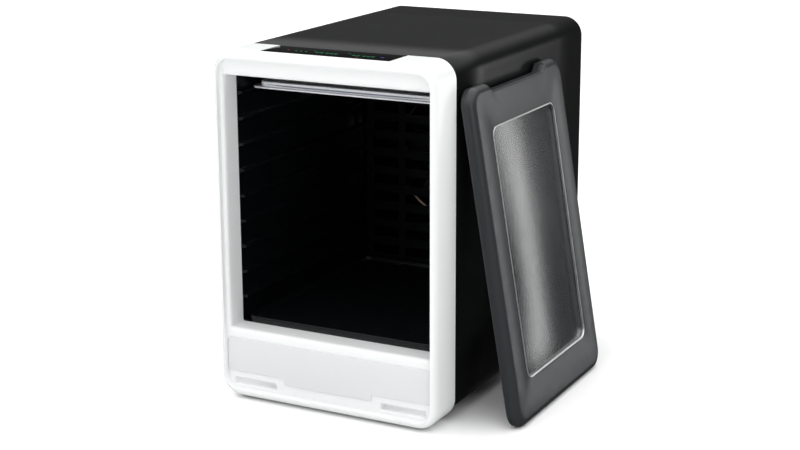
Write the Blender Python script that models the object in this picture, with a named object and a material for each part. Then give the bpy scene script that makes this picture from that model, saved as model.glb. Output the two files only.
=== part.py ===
"""Tabletop food dehydrator: cabinet, trays, rear fan and lift-off door, leaning on the cabinet's side.

Sizes are in millimetres and are scaled to metres as each mesh is made.
+X is the cabinet's right side, -Y its front, +Z up, and the floor is z = 0.
"""
import math

import bmesh
import bpy
from mathutils import Matrix

MM = 0.001
GAP = 0.3                     # clearance kept between pieces that touch

# cabinet
HALF_W = 155.0
DEPTH = 467.0
FRONT_Y = -DEPTH / 2
BEZEL_LIFT = 3.0              # bezel's lower edge above the floor
BEZEL_H = 456.4
BEZEL_TOP = BEZEL_LIFT + BEZEL_H
BEZEL_DEPTH = 58.8
CORNER_R = 26.5
FRONT_ROUND = 14.0            # how far back the rim's rounding runs
RIM_W = 5.6                   # its reach inwards at the sides
RIM_H = 10.0                  # and at the top and bottom
WALL = 2.5

# front opening and door seat, heights above the floor, depths behind the front
LIP_HALF_W = 148.6
LIP_LOW = 14.0
LIP_HIGH = 448.4
SEAT_DEPTH = 8.0
OPEN_HALF_W = 143.6
OPEN_LOW = 95.0
OPEN_HIGH = 425.5
OPEN_FACE_DEPTH = 14.0
OPEN_R = 2.5
COLLAR_DEPTH = 38.0
SOCKET_INNER = 76.5
SOCKET_OUTER = 139.5
SOCKET_LOW = 18.5
SOCKET_HIGH = 27.5
SOCKET_DEPTH = 17.0
NOTCH_HIGH = 36.5
NOTCH_INNER = 63.8

# housing, rear cover and base
SHELL_HALF_W = 154.5
SHELL_LOW = 6.7
SHELL_HIGH = BEZEL_TOP - 0.5
SHELL_R = 26.0
SHELL_WALL = 1.5
FLANGE_EDGE = 120.0
COVER_T = 4.5
COVER_Y = DEPTH / 2 - COVER_T
BASE_Z = SHELL_LOW + SHELL_WALL + GAP
BASE_T = 2.0
BASE_HALF_W = 127.0           # clear of the wrap's rounded lower corners

GRILLE_R = 70.0
GRILLE_ROWS = 9
GRILLE_PITCH = 14.0
GRILLE_SLOT = 5.0
SCREW_R = 3.4
SCREW_HEAD = 1.6
COVER_SCREWS = ((-138, 40), (138, 40), (-138, 425), (138, 425))
FOOT_SPOTS = {"foot_front_left": (-104, -150), "foot_front_right": (104, -150),
              "foot_rear_left": (-104, 205), "foot_rear_right": (104, 205)}

# controls in the bezel's top
GLASS_HALF_W = 90.0
GLASS_FRONT = FRONT_Y + 11.0
GLASS_BACK = FRONT_Y + BEZEL_DEPTH - 0.5
GLASS_T = 3.0
GLASS_TOP = BEZEL_TOP - 0.3
BOARD_HALF_W = 82.0
BOARD_T = 1.6
BOARD_TOP = GLASS_TOP - GLASS_T - 4.0

# mains inlet and electrics, from the cabinet's middle
INLET_X = -95.0
INLET_Z = 50.0
INLET_HALF_W = 14.0
INLET_HALF_H = 10.5
POWER_BOARD_X = (-110.0, -10.0)
POWER_BOARD_Y = (80.0, 170.0)
SPACER_H = 5.0

# drying chamber
LINER_T = 3.0
CHAMBER_FRONT = FRONT_Y + COLLAR_DEPTH + GAP
BAFFLE_Y = 130.0
BAFFLE_T = 2.0
PLENUM_END = 168.0
LEVELS = 9
LEVEL_PITCH = 33.7
TOP_RAIL = 400.4              # upper face of the highest rail
RAIL_T = 4.0
RAIL_REACH = 8.0

# trays
TRAY_HALF_W = 141.0
TRAY_FRONT = -168.0
TRAY_BACK = 125.0
TRAY_H = 9.0
TRAY_BODY_HALF_W = 130.0      # the flange reaches past it onto the rails
TRAY_FLANGE_T = 2.5
TRAY_NOSE = 2.0               # how far the flange shows past the body at front and back
TRAY_SHEET_T = 1.6
TRAY_CELLS = 12
TRAY_BAR = 5.5
DRIP_HALF_W = 138.0
DRIP_FRONT = -198.0
DRIP_BACK = 122.0
DRIP_H = 9.0

# fan and heater, on the middle of the plenum
FAN_Z = (OPEN_LOW + OPEN_HIGH) / 2
FAN_Y = 145.0
FAN_R = 78.0
FAN_LEN = 16.0
HUB_R = 16.0
BLADES = 5
SHAFT_R = 3.0
MOTOR_R = 29.0
MOTOR_LEN = 34.0
PLATE_Y = PLENUM_END + GAP
PLATE_T = 1.5
HEATER_R = 94.0
HEATER_TUBE = 3.25

# door, in its own frame: outer face on y = 0 looking along -Y, lower edge on z = 0
DOOR_HALF_W = 140.5
DOOR_H = 428.0
DOOR_R = 22.0
DOOR_SHELL_T = 11.5
DOOR_BACK = 17.4
DOOR_T = 19.4
DOOR_ROUND = 10.0
WINDOW_HALF_W = 98.0
WINDOW_LOW = 51.8
WINDOW_HIGH = 374.8
WINDOW_R = 14.0
TRIM_W = 2.5
GRIP_HALF_W = 88.0
GRIP_DEPTH = 11.0
HOOK_INNER = 79.0
HOOK_OUTER = 104.0
HOOK_REACH = 6.5
DOOR_SCREWS = ((-112, 60), (112, 60), (-112, 340), (112, 340))
DOOR_LEAN = math.radians(9.6)
DOOR_EDGE_X = 245.2           # outer face's lower edge, from the cabinet's middle
DOOR_MID_Y = -34.2

# the row's origin is under the middle of the whole object, the leaning door included
DOOR_REACH = DOOR_EDGE_X - DOOR_ROUND * (math.cos(DOOR_LEAN) + math.sin(DOOR_LEAN) - 1)
CABINET_X = (HALF_W - DOOR_REACH) / 2


# materials
def makeMaterial(name, color, roughness, metallic=0.0):
    material = bpy.data.materials.new(name)
    material.use_nodes = True
    shader = material.node_tree.nodes["Principled BSDF"]
    shader.inputs["Base Color"].default_value = (*color, 1.0)
    shader.inputs["Roughness"].default_value = roughness
    shader.inputs["Metallic"].default_value = metallic
    material.diffuse_color = (*color, 1.0)
    return material


FINISHES = {
    "white": ((0.90, 0.91, 0.91), 0.25, 0.0),
    "light_grey": ((0.79, 0.80, 0.82), 0.35, 0.0),
    "black_paint": ((0.012, 0.013, 0.013), 0.35, 0.3),
    "black_plastic": ((0.010, 0.011, 0.012), 0.30, 0.0),
    "charcoal": ((0.028, 0.029, 0.030), 0.32, 0.0),
    "rubber": ((0.015, 0.015, 0.015), 0.85, 0.0),
    "glass": ((0.004, 0.004, 0.005), 0.06, 0.0),
    "smoke": ((0.045, 0.048, 0.050), 0.12, 0.0),
    "silver": ((0.80, 0.81, 0.82), 0.22, 0.6),
    "steel": ((0.56, 0.57, 0.58), 0.30, 1.0),
    "dark_steel": ((0.18, 0.18, 0.18), 0.40, 1.0),
    "board": ((0.02, 0.16, 0.07), 0.45, 0.0),
    "cable": ((0.35, 0.04, 0.03), 0.50, 0.0),
    "silicone": ((0.20, 0.21, 0.22), 0.60, 0.0),
    "tray": ((0.70, 0.71, 0.73), 0.40, 0.0),
    "sheet": ((0.42, 0.43, 0.50), 0.45, 0.0),
}


# mesh helpers
def addMesh(name, mesh, finish, parent=None):
    """One object in metres, with its own material."""
    for vertex in mesh.verts:
        vertex.co *= MM
    bmesh.ops.recalc_face_normals(mesh, faces=mesh.faces)
    data = bpy.data.meshes.new(name)
    mesh.to_mesh(data)
    mesh.free()
    data.materials.append(makeMaterial(name, *FINISHES[finish]))
    piece = bpy.data.objects.new(name, data)
    bpy.context.collection.objects.link(piece)
    piece.parent = parent
    return piece


def smooth(piece, angle=35.0):
    piece.data.shade_smooth()
    piece.data.set_sharp_from_angle(angle=math.radians(angle))
    return piece


def roundedRect(halfW, low, high, radius, steps=5, middle=0.0):
    """Outline points (x, z), anticlockwise from the lower right corner."""
    corners = ((halfW - radius, low + radius, -90), (halfW - radius, high - radius, 0),
               (radius - halfW, high - radius, 90), (radius - halfW, low + radius, 180))
    points = []
    for x, z, start in corners:
        for step in range(steps + 1):
            angle = math.radians(start + 90 * step / steps)
            points.append((middle + x + radius * math.cos(angle), z + radius * math.sin(angle)))
    return points


def place(point, along, axis):
    """A flat point (a, b) set at a distance along the axis: X keeps (y, z), Y keeps (x, z), Z (x, y)."""
    a, b = point
    if axis == "X":
        return (along, a, b)
    if axis == "Y":
        return (a, along, b)
    return (a, b, along)


def prism(name, outline, start, end, finish, axis="Y", parent=None):
    """The outline drawn straight along the axis, closed at both ends."""
    mesh = bmesh.new()
    first = [mesh.verts.new(place(p, start, axis)) for p in outline]
    last = [mesh.verts.new(place(p, end, axis)) for p in outline]
    mesh.faces.new(first)
    mesh.faces.new(last)
    for i in range(len(outline)):
        j = (i + 1) % len(outline)
        mesh.faces.new((first[i], first[j], last[j], last[i]))
    return addMesh(name, mesh, finish, parent)


def block(name, low, high, finish, parent=None):
    outline = [(low[0], low[1]), (high[0], low[1]), (high[0], high[1]), (low[0], high[1])]
    return prism(name, outline, low[2], high[2], finish, "Z", parent)


def circle(cx, cz, radius, sides):
    turns = [2 * math.pi * i / sides for i in range(sides)]
    return [(cx + radius * math.cos(t), cz + radius * math.sin(t)) for t in turns]


def disc(name, centre, radius, length, finish, axis="Y", sides=24, parent=None):
    """A round bar that starts at its centre point and runs along the axis."""
    along = {"X": 0, "Y": 1, "Z": 2}[axis]
    flat = [value for i, value in enumerate(centre) if i != along]
    outline = circle(flat[0], flat[1], radius, sides)
    return smooth(prism(name, outline, centre[along], centre[along] + length, finish, axis, parent))


def ringLoft(name, rings, finish, parent=None, steps=5):
    """A frame: rounded rectangles (half width, low, high, radius, y) joined in a closed loop."""
    mesh = bmesh.new()
    loops = []
    for halfW, low, high, radius, y in rings:
        outline = roundedRect(halfW, low, high, radius, steps)
        loops.append([mesh.verts.new((x, y, z)) for x, z in outline])
    count = len(loops[0])
    for k in range(len(loops)):
        here, there = loops[k], loops[(k + 1) % len(loops)]
        for i in range(count):
            j = (i + 1) % count
            mesh.faces.new((here[i], here[j], there[j], there[i]))
    return smooth(addMesh(name, mesh, finish, parent))


def panFrom(name, rings, finish, parent=None):
    """A pan: rectangles (x half, y low, y high, radius, z), capped at the first and the last."""
    mesh = bmesh.new()
    loops = []
    for halfW, low, high, radius, z in rings:
        loops.append([mesh.verts.new((x, y, z)) for x, y in roundedRect(halfW, low, high, radius)])
    count = len(loops[0])
    mesh.faces.new(loops[0])
    mesh.faces.new(loops[-1])
    for here, there in zip(loops, loops[1:]):
        for i in range(count):
            j = (i + 1) % count
            mesh.faces.new((here[i], here[j], there[j], there[i]))
    return smooth(addMesh(name, mesh, finish, parent))


def lattice(name, columns, rows, isOpen, start, end, finish, axis="Y", parent=None):
    """A plate of cells between the column and row lines, with a hole wherever isOpen(i, k) says so."""
    mesh = bmesh.new()
    points = {}

    def corner(i, k, side):
        if (i, k, side) not in points:
            spot = place((columns[i], rows[k]), (start, end)[side], axis)
            points[i, k, side] = mesh.verts.new(spot)
        return points[i, k, side]

    across, up = len(columns) - 1, len(rows) - 1
    solid = {(i, k) for i in range(across) for k in range(up) if not isOpen(i, k)}
    for i, k in solid:
        square = ((i, k), (i + 1, k), (i + 1, k + 1), (i, k + 1))
        for side in (0, 1):
            mesh.faces.new([corner(a, b, side) for a, b in square])
        beside = ((i, k - 1), (i + 1, k), (i, k + 1), (i - 1, k))
        for edge in range(4):
            if beside[edge] not in solid:
                a, b = square[edge], square[(edge + 1) % 4]
                mesh.faces.new((corner(*a, 0), corner(*b, 0), corner(*b, 1), corner(*a, 1)))
    return addMesh(name, mesh, finish, parent)


def lines(low, high, bar, holes):
    """Lines of an even grille: a bar, a hole, a bar ... from low to high."""
    hole = (high - low - bar * (holes + 1)) / holes
    marks = [low]
    for _ in range(holes):
        marks.append(marks[-1] + bar)
        marks.append(marks[-1] + hole)
    marks.append(high)
    return marks


def cable(name, points, radius, finish, parent=None):
    """A round lead along a smooth line through the points."""
    data = bpy.data.curves.new(name, "CURVE")
    data.dimensions = "3D"
    data.bevel_depth = radius * MM
    data.bevel_resolution = 2
    data.use_fill_caps = True
    path = data.splines.new("POLY")
    steps = 4
    fine = []
    ends = [points[0]] + list(points) + [points[-1]]
    for a, b, c, d in zip(ends, ends[1:], ends[2:], ends[3:]):
        for step in range(steps):
            t = step / steps
            spot = []
            for p0, p1, p2, p3 in zip(a, b, c, d):
                bend = (2 * p0 - 5 * p1 + 4 * p2 - p3) * t * t + (3 * p1 - p0 - 3 * p2 + p3) * t ** 3
                spot.append(0.5 * (2 * p1 + (p2 - p0) * t + bend))
            fine.append(spot)
    fine.append(points[-1])
    path.points.add(len(fine) - 1)
    for point, spot in zip(path.points, fine):
        point.co = (spot[0] * MM, spot[1] * MM, spot[2] * MM, 1.0)
    data.materials.append(makeMaterial(name, *FINISHES[finish]))
    piece = bpy.data.objects.new(name, data)
    bpy.context.collection.objects.link(piece)
    piece.parent = parent
    return piece


def cut(piece, cutter):
    """Takes the cutter's shape out of the piece with an exact boolean."""
    cutter.hide_render = True
    cutter.display_type = "WIRE"
    modifier = piece.modifiers.new("cut " + cutter.name, "BOOLEAN")
    modifier.operation = "DIFFERENCE"
    modifier.solver = "EXACT"
    modifier.object = cutter


# cabinet
def makeBezel(parent):
    """White front frame: rounded rim, door seat, collar into the chamber, hollow from behind."""
    seatY = FRONT_Y + SEAT_DEPTH
    faceY = FRONT_Y + OPEN_FACE_DEPTH
    collarY = FRONT_Y + COLLAR_DEPTH
    rearY = FRONT_Y + BEZEL_DEPTH
    rings = [(HALF_W, BEZEL_LIFT, BEZEL_TOP, CORNER_R, rearY)]
    for degrees in (0, 22.5, 45, 67.5, 90):
        turn = math.radians(degrees)
        share = 1 - math.cos(turn)
        rings.append((HALF_W - RIM_W * share, BEZEL_LIFT + RIM_H * share, BEZEL_TOP - RIM_H * share,
                      CORNER_R - 6 * share, FRONT_Y + FRONT_ROUND * (1 - math.sin(turn))))
    rings += [
        (LIP_HALF_W, LIP_LOW, LIP_HIGH, CORNER_R - 7, FRONT_Y + 1.2),
        (LIP_HALF_W, LIP_LOW, LIP_HIGH, CORNER_R - 7, seatY),
        (OPEN_HALF_W + 2.2, OPEN_LOW - 5, OPEN_HIGH + 12, 7, seatY),
        (OPEN_HALF_W + 0.5, OPEN_LOW - 1.4, OPEN_HIGH + 1.5, 3.5, seatY + 3),
        (OPEN_HALF_W, OPEN_LOW, OPEN_HIGH, OPEN_R, faceY),
        (OPEN_HALF_W, OPEN_LOW, OPEN_HIGH, OPEN_R, collarY),
        (OPEN_HALF_W + LINER_T, OPEN_LOW - LINER_T, OPEN_HIGH + LINER_T, 2 * OPEN_R, collarY),
        (OPEN_HALF_W + LINER_T, OPEN_LOW - LINER_T, OPEN_HIGH + LINER_T, 2 * OPEN_R, faceY + 4),
        (OPEN_HALF_W + 5.4, OPEN_LOW - 7, OPEN_HIGH + 14, 16, seatY + LINER_T),
        (HALF_W - WALL - 2, NOTCH_HIGH + 2.5, LIP_HIGH + 1, 18, seatY + LINER_T),
        (HALF_W - WALL - 2, NOTCH_HIGH + 2.5, LIP_HIGH + 1, 18, FRONT_Y + 22),
        (HALF_W - WALL, BEZEL_LIFT + WALL, BEZEL_TOP - WALL, CORNER_R - WALL, FRONT_Y + 22),
        (HALF_W - WALL, BEZEL_LIFT + WALL, BEZEL_TOP - WALL, CORNER_R - WALL, rearY),
    ]
    bezel = ringLoft("front_bezel", rings, "white", parent)
    for side in (-1, 1):
        inner, outer = sorted((side * SOCKET_INNER, side * SOCKET_OUTER))
        socket = block("socket_cutter_%d" % side, (inner, FRONT_Y - 2, SOCKET_LOW),
                       (outer, FRONT_Y + SOCKET_DEPTH, SOCKET_HIGH), "white", parent)
        cut(bezel, socket)
    window = block("glass_cutter", (-GLASS_HALF_W - GAP, GLASS_FRONT - GAP, BEZEL_TOP - 8),
                   (GLASS_HALF_W + GAP, rearY + 1, BEZEL_TOP + 1), "white", parent)
    cut(bezel, window)
    return bezel


def makeLowerPanel(parent):
    """Light grey panel under the opening, notched round the hook sockets."""
    side = LIP_HALF_W - GAP - 0.3
    low = 28.0
    notch = NOTCH_HIGH
    reach = NOTCH_INNER
    high = OPEN_LOW - 13.0
    outline = [(-reach, low), (reach, low), (reach, notch), (side, notch), (side, high),
               (-side, high), (-side, notch), (-reach, notch)]
    prism("lower_front_panel", outline, FRONT_Y + SEAT_DEPTH - GAP - 1.5,
          FRONT_Y + SEAT_DEPTH - GAP, "light_grey", "Y", parent)


def makeHousing(parent):
    """Painted wrap: an open-bottomed rounded rectangle with flanges that the base sits on."""
    outer = roundedRect(SHELL_HALF_W, SHELL_LOW, SHELL_HIGH, SHELL_R, 6)
    inner = roundedRect(SHELL_HALF_W - SHELL_WALL, SHELL_LOW + SHELL_WALL, SHELL_HIGH - SHELL_WALL,
                        SHELL_R - SHELL_WALL, 6)
    outline = [(FLANGE_EDGE, SHELL_LOW)] + outer + [(-FLANGE_EDGE, SHELL_LOW)]
    outline += [(-FLANGE_EDGE, SHELL_LOW + SHELL_WALL)] + inner[::-1]
    outline += [(FLANGE_EDGE, SHELL_LOW + SHELL_WALL)]
    wrap = prism("outer_housing", outline, FRONT_Y + BEZEL_DEPTH + GAP, COVER_Y - GAP,
                 "black_paint", "Y", parent)
    smooth(wrap, 30)


def makeRearCover(parent):
    """Rear cover with a rounded edge, an air intake grille behind the fan and the inlet's window."""
    mesh = bmesh.new()
    loops = []
    for inset, y in ((0.0, COVER_Y), (0.0, COVER_Y + COVER_T - 2.5), (0.8, COVER_Y + COVER_T - 0.8),
                     (2.5, COVER_Y + COVER_T)):
        outline = roundedRect(SHELL_HALF_W - inset, SHELL_LOW + inset, SHELL_HIGH - inset,
                              SHELL_R - inset, 6)
        loops.append([mesh.verts.new((x, y, z)) for x, z in outline])
    count = len(loops[0])
    mesh.faces.new(loops[0])
    mesh.faces.new(loops[-1])
    for here, there in zip(loops, loops[1:]):
        for i in range(count):
            j = (i + 1) % count
            mesh.faces.new((here[i], here[j], there[j], there[i]))
    cover = smooth(addMesh("rear_cover", mesh, "black_plastic", parent), 30)
    window = block("inlet_cutter", (INLET_X - INLET_HALF_W, COVER_Y - 1, INLET_Z - INLET_HALF_H),
                   (INLET_X + INLET_HALF_W, COVER_Y + COVER_T + 1, INLET_Z + INLET_HALF_H),
                   "white", parent)
    cut(cover, window)
    cutter = bmesh.new()
    for row in range(GRILLE_ROWS):
        z = FAN_Z + GRILLE_PITCH * (row - (GRILLE_ROWS - 1) / 2)
        reach = math.sqrt(GRILLE_R ** 2 - (z - FAN_Z) ** 2)
        for side in (-1, 1):
            inner, outer = sorted((side * 3.0, side * reach))
            slot = [(inner, z - GRILLE_SLOT / 2), (outer, z - GRILLE_SLOT / 2),
                    (outer, z + GRILLE_SLOT / 2), (inner, z + GRILLE_SLOT / 2)]
            front = [cutter.verts.new((x, COVER_Y - 1, h)) for x, h in slot]
            back = [cutter.verts.new((x, COVER_Y + COVER_T + 1, h)) for x, h in slot]
            cutter.faces.new(front)
            cutter.faces.new(back)
            for i in range(4):
                j = (i + 1) % 4
                cutter.faces.new((front[i], front[j], back[j], back[i]))
    cut(cover, addMesh("grille_cutter", cutter, "white", parent))
    return cover


def makeBase(parent):
    """Base plate inside the wrap, with four rubber feet under it."""
    block("base_plate", (-BASE_HALF_W, FRONT_Y + BEZEL_DEPTH + 1, BASE_Z),
          (BASE_HALF_W, COVER_Y - 1, BASE_Z + BASE_T), "dark_steel", parent)
    for name, (x, y) in FOOT_SPOTS.items():
        mesh = bmesh.new()
        profile = ((11.0, 0.0), (12.5, 1.2), (13.5, BASE_Z - GAP))
        loops = [[mesh.verts.new((x + px, y + py, z)) for px, py in circle(0, 0, r, 20)]
                 for r, z in profile]
        mesh.faces.new(loops[0])
        mesh.faces.new(loops[-1])
        for here, there in zip(loops, loops[1:]):
            for i in range(20):
                j = (i + 1) % 20
                mesh.faces.new((here[i], here[j], there[j], there[i]))
        smooth(addMesh(name, mesh, "rubber", parent))


def makeControls(parent):
    """Touch glass let into the bezel's top, with its board, display block and buzzer."""
    block("control_glass", (-GLASS_HALF_W, GLASS_FRONT, GLASS_TOP - GLASS_T),
          (GLASS_HALF_W, GLASS_BACK, GLASS_TOP), "glass", parent)
    block("control_board", (-BOARD_HALF_W, FRONT_Y + 24, BOARD_TOP - BOARD_T),
          (BOARD_HALF_W, FRONT_Y + 56, BOARD_TOP), "board", parent)
    block("display_module", (-45, FRONT_Y + 30, BOARD_TOP + GAP),
          (45, FRONT_Y + 50, GLASS_TOP - GLASS_T - GAP), "black_plastic", parent)
    disc("piezo_buzzer", (66, FRONT_Y + 40, BOARD_TOP - BOARD_T - GAP - 5), 6, 5,
         "black_plastic", "Z", 20, parent)


# drying chamber
def makeChamber(parent):
    """Side walls with the tray rails moulded on, ceiling, floor and slotted rear baffle."""
    for side, name in ((-1, "left_rail_wall"), (1, "right_rail_wall")):
        face = side * OPEN_HALF_W
        back = side * (OPEN_HALF_W + LINER_T)
        tip = side * (OPEN_HALF_W - RAIL_REACH)
        outline = [(back, OPEN_LOW), (face, OPEN_LOW)]
        for level in reversed(range(LEVELS)):
            top = TOP_RAIL - level * LEVEL_PITCH
            outline += [(face, top - RAIL_T - 1), (tip, top - RAIL_T + 1), (tip, top), (face, top)]
        outline += [(face, OPEN_HIGH), (back, OPEN_HIGH)]
        prism(name, outline, CHAMBER_FRONT, PLENUM_END, "black_plastic", "Y", parent)
    wide = OPEN_HALF_W + LINER_T
    block("chamber_ceiling", (-wide, CHAMBER_FRONT, OPEN_HIGH + GAP),
          (wide, PLENUM_END, OPEN_HIGH + LINER_T), "black_plastic", parent)
    block("chamber_floor", (-wide, CHAMBER_FRONT, OPEN_LOW - LINER_T),
          (wide, PLENUM_END, OPEN_LOW - GAP), "black_plastic", parent)
    reach = OPEN_HALF_W - RAIL_REACH - GAP
    columns = lines(-reach, reach, 11, 5)
    rows = lines(OPEN_LOW + GAP, OPEN_HIGH - GAP, 13, 12)
    lattice("rear_baffle", columns, rows, lambda i, k: i % 2 and k % 2, BAFFLE_Y,
            BAFFLE_Y + BAFFLE_T, "black_plastic", "Y", parent)


# fan, heater and electrics
def makeFanPlate(parent):
    """Plate across the plenum that carries the motor, with air slots at both sides of it."""
    wide = OPEN_HALF_W + LINER_T
    columns = [-wide, -110, -66, -40, 40, 66, 110, wide]
    rows = lines(OPEN_LOW - LINER_T, OPEN_HIGH + LINER_T, 16, 9)
    plate = lattice("fan_plate", columns, rows, lambda i, k: i in (1, 5) and k % 2, PLATE_Y,
                    PLATE_Y + PLATE_T, "steel", "Y", parent)
    hole = disc("shaft_cutter", (0, PLATE_Y - 1, FAN_Z), 9, PLATE_T + 2, "white", "Y", 24, parent)
    cut(plate, hole)


def makeMotor(parent):
    """Motor can behind the plate, with a boss and a through bore for the shaft."""
    mesh = bmesh.new()
    bore = SHAFT_R + 0.08
    start = PLATE_Y + PLATE_T + GAP
    end = start + MOTOR_LEN
    profile = ((bore, start - 6), (7.0, start - 6), (7.0, start), (MOTOR_R, start),
               (MOTOR_R, end - 3), (MOTOR_R - 3, end), (bore, end))
    loops = [[mesh.verts.new((x, y, z)) for x, z in circle(0, FAN_Z, r, 32)] for r, y in profile]
    for k in range(len(loops)):
        here, there = loops[k], loops[(k + 1) % len(loops)]
        for i in range(32):
            j = (i + 1) % 32
            mesh.faces.new((here[i], here[j], there[j], there[i]))
    smooth(addMesh("fan_motor", mesh, "dark_steel", parent))


def makeFan(parent):
    """Impeller, shaft and nut, all turning about the fan's axis; the parent is on that axis."""
    disc("fan_shaft", (0, FAN_Y - 1, 0), SHAFT_R, PLATE_Y + PLATE_T + MOTOR_LEN - FAN_Y - 3,
         "steel", "Y", 32, parent)
    disc("fan_nut", (0, FAN_Y - 1 - GAP - 5, 0), 5.5, 5, "steel", "Y", 6, parent)
    mesh = bmesh.new()
    bore = SHAFT_R + GAP
    back = FAN_Y + FAN_LEN
    columns = BLADES * 6
    rows = ((bore, FAN_Y), (HUB_R - 2, FAN_Y), (HUB_R, FAN_Y + 2), (HUB_R, back - 2),
            (HUB_R - 2, back), (bore, back))
    loops = [[mesh.verts.new((x, y, z)) for x, z in circle(0, 0, r, columns)] for r, y in rows]
    for k in range(len(loops)):
        here, there = loops[k], loops[(k + 1) % len(loops)]
        for i in range(columns):
            j = (i + 1) % columns
            if k != 2 or i % 6 > 1:           # the two open faces of each six carry a blade
                mesh.faces.new((here[i], here[j], there[j], there[i]))
    middle = FAN_Y + FAN_LEN / 2
    for blade in range(BLADES):
        first = blade * 6
        low = [loops[2][(first + i) % columns] for i in range(3)]
        high = [loops[3][(first + i) % columns] for i in range(3)]
        section = low + high[::-1]
        for share in (0.08, 0.35, 0.65, 1.0):
            radius = HUB_R + (FAN_R - HUB_R) * share
            turn = 2 * math.pi * (first + 1) / columns + 0.25 * share
            half = 0.40 - 0.08 * share
            rise = FAN_LEN / 2 - 2 - 2.5 * share
            fresh = []
            for skin, spots in ((-0.9, (-1, 0, 1)), (0.9, (1, 0, -1))):
                for spot in spots:
                    angle = turn + half * spot
                    fresh.append(mesh.verts.new((radius * math.cos(angle), middle + rise * spot + skin,
                                                 radius * math.sin(angle))))
            for i in range(6):
                j = (i + 1) % 6
                mesh.faces.new((section[i], section[j], fresh[j], fresh[i]))
            section = fresh
        mesh.faces.new(section)
    smooth(addMesh("fan_impeller", mesh, "black_plastic", parent))


def makeHeater(parent):
    """Open ring element round the impeller, its two end clips, cut-out and air sensor."""
    mesh = bmesh.new()
    ringY = FAN_Y + FAN_LEN / 2
    start, sweep, steps = -80.0, 340.0, 34
    loops = []
    for step in range(steps + 1):
        turn = math.radians(start + sweep * step / steps)
        loop = []
        for x, z in circle(0, 0, HEATER_TUBE, 8):
            radius = HEATER_R + x
            loop.append(mesh.verts.new((radius * math.cos(turn), ringY + z,
                                        FAN_Z + radius * math.sin(turn))))
        loops.append(loop)
    mesh.faces.new(loops[0])
    mesh.faces.new(loops[-1])
    for here, there in zip(loops, loops[1:]):
        for i in range(8):
            j = (i + 1) % 8
            mesh.faces.new((here[i], here[j], there[j], there[i]))
    smooth(addMesh("heater_element", mesh, "steel", parent))
    for name, side in (("heater_clip_left", -1), ("heater_clip_right", 1)):
        near = side * (HEATER_R - 7)
        far = side * (HEATER_R + 7)
        low, high = sorted((near, far))
        outline = [(low, ringY - HEATER_TUBE - GAP - 1.5), (high, ringY - HEATER_TUBE - GAP - 1.5),
                   (high, PLATE_Y - GAP), (high - 2, PLATE_Y - GAP),
                   (high - 2, ringY - HEATER_TUBE - GAP), (low + 2, ringY - HEATER_TUBE - GAP),
                   (low + 2, PLATE_Y - GAP), (low, PLATE_Y - GAP)]
        prism(name, outline, FAN_Z - 4, FAN_Z + 4, "steel", "Z", parent)
    disc("thermal_cutout", (0, PLATE_Y + PLATE_T + GAP, FAN_Z + 60), 8, 9, "dark_steel", "Y", 20, parent)
    disc("temperature_sensor", (OPEN_HALF_W - 20, BAFFLE_Y - GAP - 7, OPEN_HIGH - 6.5), 3, 7,
         "steel", "Y", 16, parent)


def makeElectrics(parent):
    """Mains inlet, power board and transformer in the base, with the leads up to the rest."""
    mesh = bmesh.new()
    back = COVER_Y + COVER_T
    halfW, halfH = INLET_HALF_W - GAP, INLET_HALF_H - GAP
    rings = ((halfW, halfH, COVER_Y - 22), (halfW, halfH, back + 0.0),
             (halfW - 1.8, halfH - 1.8, back + 0.0), (halfW - 1.8, halfH - 1.8, back - 17))
    loops = []
    for wide, high, y in rings:
        corners = ((-wide, -high), (wide, -high), (wide, high), (-wide, high))
        loops.append([mesh.verts.new((INLET_X + x, y, INLET_Z + z)) for x, z in corners])
    mesh.faces.new(loops[0])
    mesh.faces.new(loops[-1])
    for here, there in zip(loops, loops[1:]):
        for i in range(4):
            j = (i + 1) % 4
            mesh.faces.new((here[i], here[j], there[j], there[i]))
    addMesh("power_inlet", mesh, "black_plastic", parent)
    boardZ = BASE_Z + BASE_T + SPACER_H
    block("power_board", (POWER_BOARD_X[0], POWER_BOARD_Y[0], boardZ),
          (POWER_BOARD_X[1], POWER_BOARD_Y[1], boardZ + BOARD_T), "board", parent)
    corners = ((POWER_BOARD_X[0] + 6, POWER_BOARD_Y[0] + 6), (POWER_BOARD_X[1] - 6, POWER_BOARD_Y[1] - 6))
    for i, (x, y) in enumerate(corners):
        disc("board_spacer_%d" % (i + 1), (x, y, BASE_Z + BASE_T + GAP), 4,
             SPACER_H - 2 * GAP, "light_grey", "Z", 12, parent)
    block("transformer", (-60, 100, boardZ + BOARD_T + GAP), (-22, 140, boardZ + BOARD_T + 30),
          "dark_steel", parent)
    floorZ = boardZ + BOARD_T + 6
    cable("inlet_lead", [(INLET_X, COVER_Y - 22 - GAP, INLET_Z), (INLET_X, 188, INLET_Z - 2),
                         (-92, 172, 34), (-88, 150, floorZ)], 3.0, "cable", parent)
    leadTop = PLATE_Y + PLATE_T + GAP
    cable("motor_lead", [(0, leadTop + 22, FAN_Z - MOTOR_R - GAP - 0.4), (0, leadTop + 24, 190),
                         (-4, leadTop + 22, 110), (-10, leadTop + 4, 50), (-34, 158, floorZ)],
          2.2, "cable", parent)
    cable("heater_lead", [(26, leadTop + 8, 200), (26, leadTop + 10, 160), (22, leadTop + 12, 100),
                          (6, leadTop, 48), (-14, 146, floorZ + 8)], 2.6, "cable", parent)
    ribbonX = -(OPEN_HALF_W + LINER_T + 1.0)
    outline = [(FRONT_Y + 62, 60), (FRONT_Y + 74, 60), (FRONT_Y + 74, BOARD_TOP - 20),
               (FRONT_Y + 62, BOARD_TOP - 20)]
    prism("ribbon_cable", outline, ribbonX - 1.2, ribbonX, "light_grey", "X", parent)


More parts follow.
